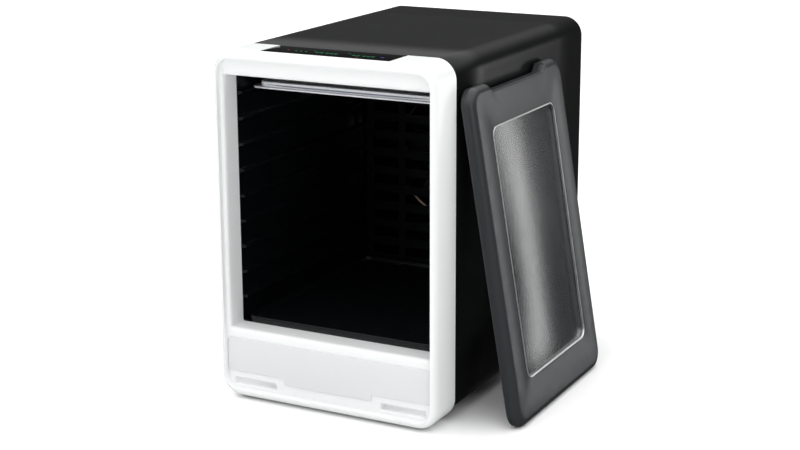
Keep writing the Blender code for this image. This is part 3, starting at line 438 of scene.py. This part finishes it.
def blockCutter(name, low, high):
    # A straight block between two corners, in mm from the cabinet's middle.
    x0, y0, z0 = low
    x1, y1, z1 = high
    outline = np.array([(x0, z0), (x1, z0), (x1, z1), (x0, z1)], float)
    return stacked(name, [(outline, y0), (outline, y1)], move=lambda p: p + np.array([middleX, 0, 0]))


bezelPiece = buildBezel(bezel)
glassLow, glassHigh = (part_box("control_glass")[k] / mm for k in (0, 1))
glassHalfW = (glassHigh.x - glassLow.x) / 2
bezelPiece = carved(bezelPiece, [
    socketCutter("socket_left", -1), socketCutter("socket_right", 1),
    blockCutter("glass_seat", (-glassHalfW - 0.3, glassLow.y - 0.3, top - 8),
                (glassHalfW + 0.3, frontY + bezel["depth"] + 1, top + 1))])
dress(bezelPiece, "cabinet", ["front_bezel"], finish["white"])
print("bezel:", len(bezelPiece.data.polygons), "faces")

panel = {"reach": 63.8, "side": 148.0, "low": 28.0, "notch": 36.5, "high": 82.0, "face": 6.2, "thick": 1.5}


def buildPanel(p):
    # A notched plate: its outline moved in by r(1 - cos t) while its face rises by r(1 - sin t), r = 0.9
    # mm.
    reach, side, low, notch, high = (p[key] for key in ("reach", "side", "low", "notch", "high"))
    corners = [(-reach, low), (reach, low), (reach, notch), (side, notch),
               (side, high), (-side, high), (-side, notch), (-reach, notch)]
    radii = (2.5, 2.5, 2.0, 3.0, 7.0, 7.0, 3.0, 2.0)
    outlines = [(filleted(corners, radii, 0.0), frontY + p["face"] + p["thick"])]
    for t in quarter(6):
        outlines.append((filleted(corners, radii, 0.9 * sweepIn(t)), frontY + p["face"] + 0.9 * sweepUp(t)))
    return stacked("grey_front_panel", outlines, move=lambda q: q + np.array([middleX, 0, 0]))


dress(buildPanel(panel), "cabinet", ["lower_front_panel"], finish["grey"])

# the black wrap and rear cover
wrap = {"halfW": 154.5, "low": 6.7, "high": top - 0.5, "radius": 26.0, "sheet": 1.5, "flange": 120.0,
        "edge": 0.5}


def buildWrap(w):
    # Sheet carried along the cabinet: a C-shaped line round the section, thickened inwards, edges eased.
    outer = roundedPath(w["halfW"], w["low"], w["high"], w["radius"], 20, np.linspace(0, 1, 8)[1:-1])
    inner = roundedPath(w["halfW"] - w["sheet"], w["low"] + w["sheet"], w["high"] - w["sheet"],
                        w["radius"] - w["sheet"], 20, np.linspace(0, 1, 8)[1:-1])
    keep = ~((outer[:, 1] < w["low"] + 0.01) & (np.abs(outer[:, 0]) < w["flange"]))
    first = int(np.argmax(keep & ~np.roll(keep, 1)))
    outer, inner, keep = (np.roll(a, -first, axis=0) for a in (outer, inner, keep))
    outer, inner = outer[keep], inner[keep]
    low, high = (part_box("outer_housing")[k].y / mm for k in (0, 1))
    e = w["edge"]
    section = [(0, low + e), (e, low), (1, low), (1, high), (e, high), (0, high - e)]
    section += [(0, high - share * (high - low)) for share in np.linspace(0.2, 0.8, 4)]
    rows = []
    for inset, y in section:
        share = min(1.0, inset / w["sheet"]) if inset < 1 else 1.0
        line = outer + (inner - outer) * share
        rows.append(np.column_stack([line[:, 0], np.full(len(line), y), line[:, 1]]))
    points = np.stack(rows, axis=1) * mm
    points[..., 0] += middleX
    return showGrid("wrap_sheet", points, closeU=False, closeV=True, capU=True, sharp=50)


dress(buildWrap(wrap), "cabinet", ["outer_housing"], finish["wrap"])

rear = {"thick": 4.5, "grilleR": 70.0, "rows": 9, "pitch": 14.0, "slot": 5.0, "inletX": -95.0, "inletZ": 50.0,
        "inletHalfW": 14.0, "inletHalfH": 10.5, "screwR": 3.7, "screwDeep": 1.9,
        "screws": ((-138, 40), (138, 40), (-138, 425), (138, 425))}


def buildCover(r):
    # Rounded plate with a quarter-round rear edge, less slots cut to the chord of a circle at their
    # height.
    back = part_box("rear_cover")[1].y / mm
    start = back - r["thick"]
    outlines = [(roundedPath(wrap["halfW"], wrap["low"], wrap["high"], wrap["radius"], 20), start)]
    for t in quarter(8):
        inset = 2.5 * sweepIn(t)
        outlines.append((roundedPath(wrap["halfW"] - inset, wrap["low"] + inset, wrap["high"] - inset,
                                     wrap["radius"] - inset, 20), back - 2.5 * sweepUp(t)))
    shift = np.array([middleX, 0, 0])
    plate = stacked("rear_cover_moulding", outlines, move=lambda q: q + shift)
    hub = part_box("fan_shaft")
    fanZ = (hub[0].z + hub[1].z) / 2 / mm
    x, z, halfW, halfH = (r[key] for key in ("inletX", "inletZ", "inletHalfW", "inletHalfH"))
    cutters = [blockCutter("inlet_hole", (x - halfW, start - 1, z - halfH), (x + halfW, back + 1, z + halfH))]
    for row in range(r["rows"]):
        rise = r["pitch"] * (row - (r["rows"] - 1) / 2)
        reach = math.sqrt(r["grilleR"] ** 2 - rise ** 2)
        for side in (-1, 1):
            halfW, middle = (reach - 3) / 2, side * (reach + 3) / 2
            half = r["slot"] / 2
            rings = [(half + 0.9, back + 1), (half + 0.9, back + 0.01), (half + 0.25, back - 0.6),
                     (half, back - 1.2), (half, start - 1)]
            centre = np.array([middle, fanZ + rise])
            outlines = [(roundedPath(halfW + h - half, -h, h, h - 0.05, 6) + centre, y) for h, y in rings]
            cutters.append(stacked(f"slot_{row}_{side}", outlines, move=lambda q: q + shift))
    for i, (x, z) in enumerate(r["screws"]):
        floorY = back - r["screwDeep"]
        profile = [(0, floorY), (r["screwR"], floorY), (r["screwR"], back + 1), (0, back + 1)]
        cutters.append(revolved(f"screw_seat_{i}", profile, (middleX + x * mm, 0, z * mm), "Y"))
    return carved(plate, cutters)


dress(buildCover(rear), "cabinet", ["rear_cover"], finish["cover"])


def buildScrew(name, node, body, crossDepth=0.7):
    # Pan head: a low dome z = h(1 - (r / R)^2 / 3) with a cross recess pressed in.
    low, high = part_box(node)
    centre = (low + high) / 2
    radius, height = (high.x - low.x) / 2 / mm, (high.y - low.y) / mm
    dome = [(r * radius, height * (1 - r * r / 3)) for r in np.linspace(0, 0.97, 7)]
    profile = dome + [(radius, height * 0.5), (radius, 0), (0, 0)]
    head = revolved(name, profile, (centre.x, low.y, centre.z), "Y", 36)
    cutters = []
    for k, (w, h) in enumerate(((radius * 0.55, 0.35), (0.35, radius * 0.55))):
        outline = np.array([(-w, -h), (w, -h), (w, h), (-w, h)], float)
        cutters.append(stacked(f"{name}_cross_{k}", [(outline, height - crossDepth), (outline, height + 1)],
                               move=lambda q: q + np.array([centre.x, low.y, centre.z])))
    return dress(carved(head, cutters), body, [node], finish["motor"])


for i in range(4):
    buildScrew(f"cover_screw_head_{i + 1}", f"cover_screw_{i + 1}", "cabinet")
print("cabinet skin done")

# touch glass and its lit marks
glass = {"radius": 1.2, "ease": 0.5}


def buildGlass(g):
    # Flat plate between its node's corners; upper edge eased by a quarter round.
    low, high = (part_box("control_glass")[k] / mm for k in (0, 1))
    middle, halfW = (low.x + high.x) / 2, (high.x - low.x) / 2
    outlines = [(roundedPath(halfW, low.y, high.y, g["radius"], 6), low.z)]
    for t in quarter(5):
        inset = g["ease"] * sweepIn(t)
        outlines.append((roundedPath(halfW - inset, low.y + inset, high.y - inset, g["radius"], 6),
                         high.z - g["ease"] * sweepUp(t)))

    def lay(q):
        return q[..., [0, 2, 1]] + np.array([middle * mm, 0, 0])
    return stacked("touch_glass", outlines, move=lay)


dress(buildGlass(glass), "cabinet", ["control_glass"], finish["glass"])


def litFinish(name, colour, strength):
    # A light-emitting mark behind printed glass; it dims a little across its width, as a diffuser does.
    material, tree, shader, place = startFinish(name, Base_Color=linear("#101010"), Roughness=0.3,
                                                Emission_Color=linear(colour))
    spread = addNode(tree, "TexNoise", {"Scale": perMm(3)}, Vector=place)
    glow = addNode(tree, "MapRange", {"To Min": strength * 0.6, "To Max": strength * 1.2},
                   Value=spread.outputs["Fac"])
    tree.links.new(glow.outputs["Result"], shader.inputs["Emission Strength"])
    return material


def litMarks(name, marks, colour, strength):
    # Thin rounded tiles on the glass: (x from the middle, y behind the front, width, depth) in mm.
    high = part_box("control_glass")[1].z / mm
    meshes = []
    for x, y, w, d in marks:
        outline = roundedPath(w / 2, -d / 2, d / 2, min(w, d) * 0.45, 4) + np.array([x, frontY + y])
        layers = [np.column_stack([outline, np.full(len(outline), high + h)]) for h in (0.02, 0.10)]
        meshes.append(np.stack(layers) * mm + np.array([middleX, 0, 0]))
    count = meshes[0].shape[1]
    verts = np.concatenate([m.reshape(-1, 3) for m in meshes])
    faces = []
    for k in range(len(meshes)):
        base = k * 2 * count
        ring = np.arange(count)
        after = (ring + 1) % count
        upper = base + count
        faces += np.stack([base + ring, base + after, upper + after, upper + ring], axis=1).tolist()
        faces += [(base + ring[::-1]).tolist(), (base + count + ring).tolist()]
    mesh = bpy.data.meshes.new(name)
    mesh.from_pydata(verts.tolist(), [], faces)
    piece = finishMesh(name, mesh)
    return dress(piece, "cabinet", [], litFinish(name.replace("_", " "), colour, strength))


def digitMarks(places, y):
    # Each numeral as two uprights and three bars, 3.4 by 5 mm.
    marks = []
    for x in places:
        marks += [(x + side, y, 0.6, 5.0) for side in (-1.5, 1.5)]
        marks += [(x, y + rise, 2.2, 0.6) for rise in (-2.3, 0.0, 2.3)]
    return marks


litMarks("lit_numerals", digitMarks((-20, -14, -6, 0, 6, 31, 37, 45, 51, 57), 31), "#1FAE6A", 0.55)
litMarks("lit_keys", [(x, 31, 3.2, 3.2) for x in (-50, -43, -36)] + [(x, 40, 5, 0.8) for x in (-28, 20)],
         "#1FAE6A", 0.45)
litMarks("lit_stop_keys", [(-62, 33, 3.4, 2.6), (40, 21, 5.0, 1.6)], "#C8413C", 0.40)
litMarks("lit_fan_key", [(70, 31, 5.0, 2.6)], "#5A62E8", 0.50)
print("controls done")

# tray frame, its mesh and the drip tray
tray = {"body": 130.0, "flange": 2.5, "nose": 2.0, "wall": 2.0, "shelf": 6.0, "sheet": 1.6, "radius": 12.0,
        "cells": 36, "strand": 4.6, "band": 3.0}


def flatRings(rings, along=None):
    # Rounded rectangles lying flat: (half width, y low, y high, radius, z) in mm; z is a number or a rule
    # of (x, y).
    rows = []
    for w, a, b, r, z in rings:
        p = roundedPath(w, a, b, r, 12, along)
        rows.append(np.column_stack([p, z(p) if callable(z) else np.full(len(p), z)]))
    return np.stack(rows, axis=1) * mm + np.array([middleX, 0, 0])


def wallFoot(x):
    # Where the wall's painted shade begins above the flange: 1.4 + 3.2 (x / halfW) ** 6, so both ends sweep
    # up.
    return tray["flange"] + 1.4 + 3.2 * np.clip(np.abs(x) / tray["body"], 0, 1) ** 6


def buildTrayFrame(t):
    # Section: flange with a rolled nose, an upright wall whose top is a half round, and a shelf for the
    # sheet.
    low, high = (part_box("tray_frame")[k] / mm for k in (0, 1))
    wide, front, rear, tall = (high.x - low.x) / 2, low.y, high.y, high.z
    foot = low.z
    rings = []
    for a in quarter(9, 0, 180):
        inset = t["flange"] / 2 * sweepUp(a) * 0.8
        rings.append((wide - inset, front + inset, rear - inset, t["radius"] - inset,
                      foot + t["flange"] / 2 * sweepIn(a)))
    body, nose = t["body"], t["nose"]
    for a in quarter(5):
        grow = 1.0 * sweepUp(a)
        rings.append((body + grow, front + nose - grow, rear - nose + grow, 12 + grow,
                      foot + t["flange"] + 1.0 * sweepIn(a)))
    wall = t["wall"]
    # this ring splits the wall where its painted shade begins
    rings.append((body, front + nose, rear - nose, 12, lambda p: foot + wallFoot(p[:, 0])))
    rings.append((body, front + nose, rear - nose, 12, tall - t["band"]))
    for a in quarter(9, 0, 180):
        inset = wall / 2 * sweepIn(a)
        rings.append((body - inset, front + nose + inset, rear - nose - inset, 12 - 2 * inset,
                      tall - 1 + math.sin(a)))
    ledge, shelf = tall - t["sheet"] - 0.3, t["shelf"]
    rings += [(body - wall, front + nose + wall, rear - nose - wall, 8, ledge),
              (body - shelf, front + nose + shelf, rear - nose - shelf, 5, ledge),
              (body - shelf, front + nose + shelf, rear - nose - shelf, 5, foot)]
    return showGrid("tray_rim", flatRings(rings, np.linspace(0, 1, 26)[1:-1]), sharp=55)


rim = dress(buildTrayFrame(tray), "tray", ["tray_frame"], finish["tray"])
rim.data.materials.append(finish["mesh"])  # painted shade: the upright wall takes a darker grey for its shadow under the bezel, the rolled lip stays light
rimLow, rimHigh = (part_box("tray_frame")[k].z / mm for k in (0, 1))
for face in rim.data.polygons:
    x, z = face.center.x / mm - middleX / mm, face.center.z / mm
    # painted shade mask: upright faces between the shade's foot and the top band get the darker grey
    upright = abs(face.normal.z) < 0.6 and rimLow + wallFoot(x) < z < rimHigh - tray["band"]
    face.material_index = 1 if upright else 0


def buildMesh(t):
    # A plate on a grid of lines with every other cell open: cell (i, k) is open where i and k are both
    # odd.
    low, high = (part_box("tray_mesh")[k] / mm for k in (0, 1))

    def marks(a, b, count):
        pitch = (b - a - t["strand"]) / count
        starts = a + pitch * np.arange(count + 1)
        return np.sort(np.concatenate([starts, starts + t["strand"]]))
    xs, ys = marks(low.x, high.x, t["cells"]), marks(low.y, high.y, t["cells"])
    gx, gy = np.meshgrid(xs, ys, indexing="ij")
    flat = np.stack([gx, gy], axis=-1).reshape(-1, 2)
    verts = np.concatenate([np.column_stack([flat, np.full(len(flat), z)]) for z in (low.z, high.z)]) * mm
    nx, ny = len(xs), len(ys)
    i, k = (a.ravel() for a in np.meshgrid(np.arange(nx - 1), np.arange(ny - 1), indexing="ij"))
    opened = (i % 2 == 1) & (k % 2 == 1)
    a, b, c, d = i * ny + k, (i + 1) * ny + k, (i + 1) * ny + k + 1, i * ny + k + 1
    layer = nx * ny
    solid = ~opened
    faces = [np.stack([a, d, c, b], 1)[solid], np.stack([a, b, c, d], 1)[solid] + layer]
    for p, q in ((a, b), (b, c), (c, d), (d, a)):
        faces.append(np.stack([q, p, p + layer, q + layer], 1)[opened])
    for p, q, edge in ((a, b, k == 0), (b, c, i == nx - 2), (c, d, k == ny - 2), (d, a, i == 0)):
        faces.append(np.stack([p, q, q + layer, p + layer], 1)[edge & solid])
    mesh = bpy.data.meshes.new("tray_sheet")
    mesh.from_pydata(verts.tolist(), [], np.concatenate(faces).tolist())
    return finishMesh("tray_sheet", mesh, 30)


dress(buildMesh(tray), "tray", ["tray_mesh"], finish["sheet"])

drip = {"wall": 2.5, "radius": 15.0, "floor": 1.8}


def buildDrip(p):
    # A pan: outside and inside walls as rounded rings, the lip a half round, both floors flat.
    low, high = (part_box("drip_tray")[k] / mm for k in (0, 1))
    wide, r, wall = (high.x - low.x) / 2, p["radius"], p["wall"]
    rings = [(wide - 4, low.y + 4, high.y - 4, r - 4, low.z)]
    for a in quarter(5, 0, 75):
        inset = 1 + 2 * sweepUp(a)
        rings.append((wide - inset, low.y + inset, high.y - inset, r - inset, low.z + 2 * sweepIn(a)))
    for a in quarter(9, 0, 180):
        inset = wall / 2 * sweepIn(a)
        crown = high.z - 1.25 + 1.25 * math.sin(a)
        rings.append((wide - inset, low.y + inset, high.y - inset, r - inset, crown))
    floor = low.z + p["floor"]
    for a in quarter(7):
        inset = wall + 5.5 * sweepIn(a)
        rings.append((wide - inset, low.y + inset, high.y - inset, r - inset, floor + 5.5 * sweepUp(a)))
    rings.append((wide - 14, low.y + 14, high.y - 14, 6, floor))
    points = flatRings(rings).swapaxes(0, 1)
    return showGrid("drip_pan_moulding", points, closeU=False, closeV=True, capU=True)


dress(buildDrip(drip), "drip_pan", ["drip_tray"], finish["liner"])
print("trays done")

# the door, drawn in its own frame (outer face on y = 0, lower edge on z = 0) and leaned as its node is
door = {"lean": 9.6, "edgeX": 245.2, "middleY": -34.2, "halfW": 140.5, "high": 428.0, "cornerR": 22.0,
        "shell": 11.5, "back": 17.4, "full": 19.4, "rounding": 10.0, "window": (98.0, 51.8, 374.8, 14.0),
        "grip": ((-93, 433), (-88, 424), (-82, 419), (-78, 417), (78, 417), (82, 419), (88, 424), (93, 433))}
leanAngle = math.radians(door["lean"])
# the inner frame's lower edge is on the floor
doorLift = door["back"] * math.sin(leanAngle) - 0.8 * math.cos(leanAngle)
doorPose = (Matrix.Translation((middleX + door["edgeX"] * mm, door["middleY"] * mm, doorLift * mm))
            @ Matrix.Rotation(-leanAngle, 4, "Y") @ Matrix.Rotation(math.radians(90), 4, "Z"))
doorTurn, doorShift = np.array(doorPose.to_3x3()), np.array(doorPose.translation)


def onDoor(points):
    # Door-frame points to the row frame: R p + t.
    return points @ doorTurn.T + doorShift


def doorEdge(inset):
    # The door's plain rounded outline moved in by inset.
    radius = max(2.0, door["cornerR"] - inset / 2)
    along = np.linspace(0, 1, 12)[1:-1]
    return roundedPath(door["halfW"] - inset, inset, door["high"] - inset, radius, 16, along)


def windowAt(outline, grow):
    # The window's outline grown by grow, at the bearings of the door outline's points.
    w, a, b, r = door["window"]
    fine = roundedPath(w + grow, a - grow, b + grow, r + grow, 40, np.linspace(0, 1, 120)[1:-1])
    return polarMatch(outline, fine, (0.0, (a + b) / 2))


def doorLoft(name, rings, sharp=40.0):
    # Rings of ('edge', inset, y) or ('window', grow, y) joined in a closed loop on the door.
    base = doorEdge(0.0)
    rows = []
    for kind, amount, y in rings:
        flat = doorEdge(amount) if kind == "edge" else windowAt(base, amount)
        rows.append(np.column_stack([flat[:, 0], np.full(len(flat), y), flat[:, 1]]))
    return showGrid(name, onDoor(np.stack(rows, axis=1) * mm), sharp=sharp)


def gripCutter(name, flare):
    # The finger notch: its outline grown by flare(1 - sin t) at the outer face, easing that edge.
    corners = door["grip"][::-1]
    rings = [(-flare, -3.0), (-flare, 0.0)]
    rings += [(-flare * sweepUp(t), flare * sweepIn(t)) for t in np.radians((15, 30, 45, 60, 75, 90))]
    rings += [(0.0, door["full"] + 3)]
    outlines = [(filleted(corners[::-1], (1, 3, 3, 3, 3, 3, 3, 1), grow, 5), y) for grow, y in rings]
    return stacked(name, outlines, move=onDoor)


def buildShell(d):
    # Edge rounding: inset 10(1 - cos t), depth 10(1 - sin t); window edge eased by 0.6 mm; hollow behind.
    r = d["rounding"]
    rings = [("edge", 0.0, d["shell"])]
    rings += [("edge", r * sweepIn(t), r * sweepUp(t)) for t in quarter(15)]
    rings += [("window", 0.6 * sweepUp(t), 0.6 * sweepIn(t)) for t in np.radians((0, 30, 60, 90))]
    rings += [("window", 0.0, d["shell"]), ("window", 2.5, d["shell"]), ("window", 2.5, 2.5),
              ("edge", 24.0, 2.5), ("edge", 21.0, 9.0), ("edge", 20.0, d["shell"])]
    return carved(doorLoft("door_shell_moulding", rings), [gripCutter("grip_front", 2.2)])


def buildInner(d):
    # Inner frame: a flat ring behind the shell, its rear edge broken by a 1.5 mm quarter round.
    rings = [("edge", 0.9, d["shell"] + 0.3), ("edge", 0.8, d["shell"] + 0.6)]
    rings += [("edge", 0.8 + 1.5 * sweepIn(t), d["back"] - 1.5 * sweepUp(t))
              for t in quarter(6)]
    rings += [("window", -9.0, d["back"]), ("window", -10.0, d["back"] - 1.0),
              ("window", -10.0, d["shell"] + 0.3)]
    return carved(doorLoft("door_inner_moulding", rings), [gripCutter("grip_rear", 0.01)])


dress(buildShell(door), "door", ["door_outer_shell"], finish["door"])
dress(buildInner(door), "door", ["door_inner_frame"], finish["door"])


def doorFrameLoft(name, rings, sharp=40.0):
    # Plain rounded frames (half width, low, high, radius, y) on the door, joined in a closed loop.
    along = np.linspace(0, 1, 10)[1:-1]
    rows = []
    for w, a, b, r, y in rings:
        p = roundedPath(w, a, b, r, 14, along)
        rows.append(np.column_stack([p[:, 0], np.full(len(p), y), p[:, 1]]))
    return showGrid(name, onDoor(np.stack(rows, axis=1) * mm), sharp=sharp)


def ringAt(inset, y):
    # The window's rounded rectangle moved in by inset.
    w, a, b, r = door["window"]
    return (w - inset, a + inset, b - inset, max(1.0, r - inset), y)


trimRings = [ringAt(0.3, 3.4), ringAt(0.3, 0.9)]
trimRings += [ringAt(0.3 + 1.1 * sweepIn(t), 0.9 - 0.8 * math.sin(t)) for t in quarter(7, 10)]
trimRings += [ringAt(1.4 + 1.1 * math.sin(t), 0.1 + 0.9 * sweepIn(t)) for t in quarter(7, 10)]
trimRings += [ringAt(2.5, 3.4)]
dress(doorFrameLoft("window_trim_bead", trimRings), "door", ["window_trim"], finish["trim"])

paneOutlines = [(roundedPath(*ringAt(0.3, 0)[:4], 14), 7.7)]
paneOutlines += [(roundedPath(*ringAt(0.3 + 0.4 * sweepIn(t), 0)[:4], 14), 4.1 - 0.4 * math.sin(t))
                 for t in quarter(5)]
pane = stacked("window_sheet", paneOutlines, move=onDoor)
dress(pane, "door", ["window_pane"], finish["smoke"])

gasketRings = [ringAt(0.3, 8.0), ringAt(5.2, 8.0)]
gasketRings += [ringAt(5.2 + 0.8 * math.sin(t), 8.8 - 0.8 * math.cos(t)) for t in np.radians((30, 60, 90))]
gasketRings += [ringAt(6.0, 10.7), ringAt(5.6, 11.4), ringAt(5.2, 11.5), ringAt(0.3, 11.5)]
gasket = doorFrameLoft("window_gasket_section", gasketRings)
dress(gasket, "door", ["window_gasket"], finish["silicone"])


def buildSeal(d):
    # Door seal: a lip 4 mm wide round the back face; crown y = back + 2 sin t between its two feet.
    wide, low, high, radius = d["halfW"] - 13, 34.0, 409.0, 14.0
    base, tall = d["back"] + 0.3, d["full"] - d["back"] - 0.3
    rings = [(wide - 2 * sweepIn(t), low + 2 * sweepIn(t), high - 2 * sweepIn(t),
              radius - 2 * sweepIn(t), base + tall * math.sin(t)) for t in quarter(11, 0, 180)]
    return doorFrameLoft("door_seal_lip", rings)


dress(buildSeal(door), "door", ["door_seal"], finish["silicone"])
print("door done")

# feet, motor, heater and the other solids that keep their CAD shape with eased edges
footProfile = [(0, 0), (10.2, 0), (10.8, 0.25), (11.0, 0.8), (12.3, 1.6), (12.6, 2.6), (13.5, 8.0),
               (13.2, 8.2), (0, 8.2)]
for node in ("foot_front_left", "foot_front_right", "foot_rear_left", "foot_rear_right"):
    low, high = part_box(node)
    pad = revolved(node + "_pad", footProfile, ((low.x + high.x) / 2, (low.y + high.y) / 2, 0), "Z")
    dress(pad, "cabinet", [node], finish["rubber"])

for node, body, slot, key, bevel in (
        ("left_rail_wall", "cabinet", "black_liner", "liner", 0.8),
        ("right_rail_wall", "cabinet", "black_liner", "liner", 0.8),
        ("rear_baffle", "cabinet", "black_liner", "liner", 0.4),
        ("chamber_ceiling", "cabinet", "black_liner", "liner", 0.4),
        ("chamber_floor", "cabinet", "black_liner", "liner", 0.4),
        ("fan_impeller", "fan", "black_abs", "cover", 0.0),
        ("fan_nut", "fan", "bright_steel", "motor", 0.4),
        ("fan_shaft", "fan", "bright_steel", "bright", 0.3),
        ("fan_motor", "cabinet", "motor_steel", "motor", 0.6),
        # painted shade: the fan plate and heater clips take the near-black zinc finish
        ("fan_plate", "cabinet", "zinc_sheet", "plate", 0.2),
        ("heater_element", "cabinet", "element_steel", "element", 0.0),
        ("heater_clip_left", "cabinet", "zinc_sheet", "plate", 0.2),
        ("heater_clip_right", "cabinet", "zinc_sheet", "plate", 0.2),
        ("power_inlet", "cabinet", "black_abs", "cover", 0.5),
        ("base_plate", "cabinet", "zinc_sheet", "zinc", 0.3),
        ("door_hook_left", "door", "charcoal_satin", "door", 0.8),
        ("door_hook_right", "door", "charcoal_satin", "door", 0.8)):
    refined(node, body, finish[key], bevel)

for i in range(4):
    refined(f"door_screw_{i + 1}", "door", finish["bright"], 0.35)

# sealed inner parts stay as packed, each with its own finish
inner = {"control_board": "board", "power_board": "board", "display_module": "cover", "piezo_buzzer": "cover",
         "board_spacer_1": "socket", "board_spacer_2": "socket", "ribbon_cable": "socket",
         "transformer": "motor", "thermal_cutout": "motor", "temperature_sensor": "bright",
         # painted shade: the leads take the darkened sleeve finish
         "inlet_lead": "sleeve", "motor_lead": "sleeve", "heater_lead": "sleeve",
         "door_magnet_left": "motor", "door_magnet_right": "motor"}
for name, key in inner.items():
    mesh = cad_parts[name].data
    mesh.materials.clear()
    mesh.materials.append(finish[key])
print("inner parts done")


# floor, light and camera

def flatStage(name, low, high, z, material):
    mesh = bpy.data.meshes.new(name)
    corners = [(low[0], low[1], z), (high[0], low[1], z), (high[0], high[1], z), (low[0], high[1], z)]
    mesh.from_pydata(corners, [], [(0, 1, 2, 3)])
    mesh.materials.append(material)
    piece = bpy.data.objects.new(name, mesh)
    scene.collection.objects.link(piece)
    return piece


studioFloor = flatStage("studio_floor", (-6, -6), (6, 8), 0.0,
                        mouldedFinish("matt white studio paper", "#FBFBFB", "#FFFFFF", 0.9, 0.04, 3.0, 0.02))
# gloss parts mirror the dim walls instead of the floor, as they would over black cloth
studioFloor.visible_glossy = False


def softbox(name, place, aim, size, power, colour="#FFFFFF"):
    # A rectangular area light at place, facing aim.
    light = bpy.data.lights.new(name, "AREA")
    light.shape = "RECTANGLE"
    light.size, light.size_y = size
    light.energy = power
    light.color = linear(colour)[:3]
    lamp = bpy.data.objects.new(name, light)
    lamp.location = place
    lamp.rotation_euler = (Vector(aim) - Vector(place)).to_track_quat("-Z", "Y").to_euler()
    scene.collection.objects.link(lamp)
    return lamp


softbox("key_above_left", (-1.3, -1.6, 1.9), (0, 0, 0.2), (1.4, 1.0), 2)
softbox("fill_front", (-0.4, -2.6, 0.9), (0, 0, 0.2), (1.6, 1.2), 5)
softbox("fill_right", (1.9, -1.7, 0.9), (0, -0.2, 0.25), (1.0, 0.9), 7)
softbox("streak_rear", (1.10, 1.5, 0.12), (0.17, -0.1, 0.2), (0.20, 1.1), 4.0)

world = bpy.data.worlds.new("white studio")
world.use_nodes = True
scene.world = world
sky = world.node_tree.nodes["Background"]
sky.inputs["Color"].default_value = linear("#FFFFFF")
# the studio's ceiling glows and its far walls are dim: the strength rises with height, from 0.04 below
# 17 degrees to 1.9 above 46 degrees
direction = addNode(world.node_tree, "TexCoord").outputs["Generated"]
height = addNode(world.node_tree, "SeparateXYZ", {}, Vector=direction).outputs["Z"]
ceilingGlow = {"interpolation_type": "SMOOTHSTEP", "From Min": 0.30, "From Max": 0.72,
               "To Min": 0.04, "To Max": 1.9}
glow = addNode(world.node_tree, "MapRange", ceilingGlow, Value=height)
world.node_tree.links.new(glow.outputs["Result"], sky.inputs["Strength"])

scene.view_settings.view_transform = "Standard"

view = {"lens": 74.48, "sensor": 36.0, "turn": 27.588, "tilt": 15.021, "roll": -0.2366,
        "x": 0.9970, "y": -1.9331, "z": 0.7788}
cameraData = bpy.data.cameras.new("camera")
cameraData.sensor_width, cameraData.lens = view["sensor"], view["lens"]
camera = bpy.data.objects.new("camera", cameraData)
turn, tilt, roll = (math.radians(view[key]) for key in ("turn", "tilt", "roll"))
back = Vector((math.sin(turn) * math.cos(tilt), -math.cos(turn) * math.cos(tilt), math.sin(tilt)))
right = Vector((math.cos(turn), math.sin(turn), 0.0))
upward = back.cross(right)
across = right * math.cos(roll) + upward * math.sin(roll)
above = upward * math.cos(roll) - right * math.sin(roll)
aimed = Matrix((across, above, back)).transposed().to_4x4()
camera.matrix_world = Matrix.Translation((middleX + view["x"], view["y"], view["z"])) @ aimed
scene.collection.objects.link(camera)
scene.camera = camera
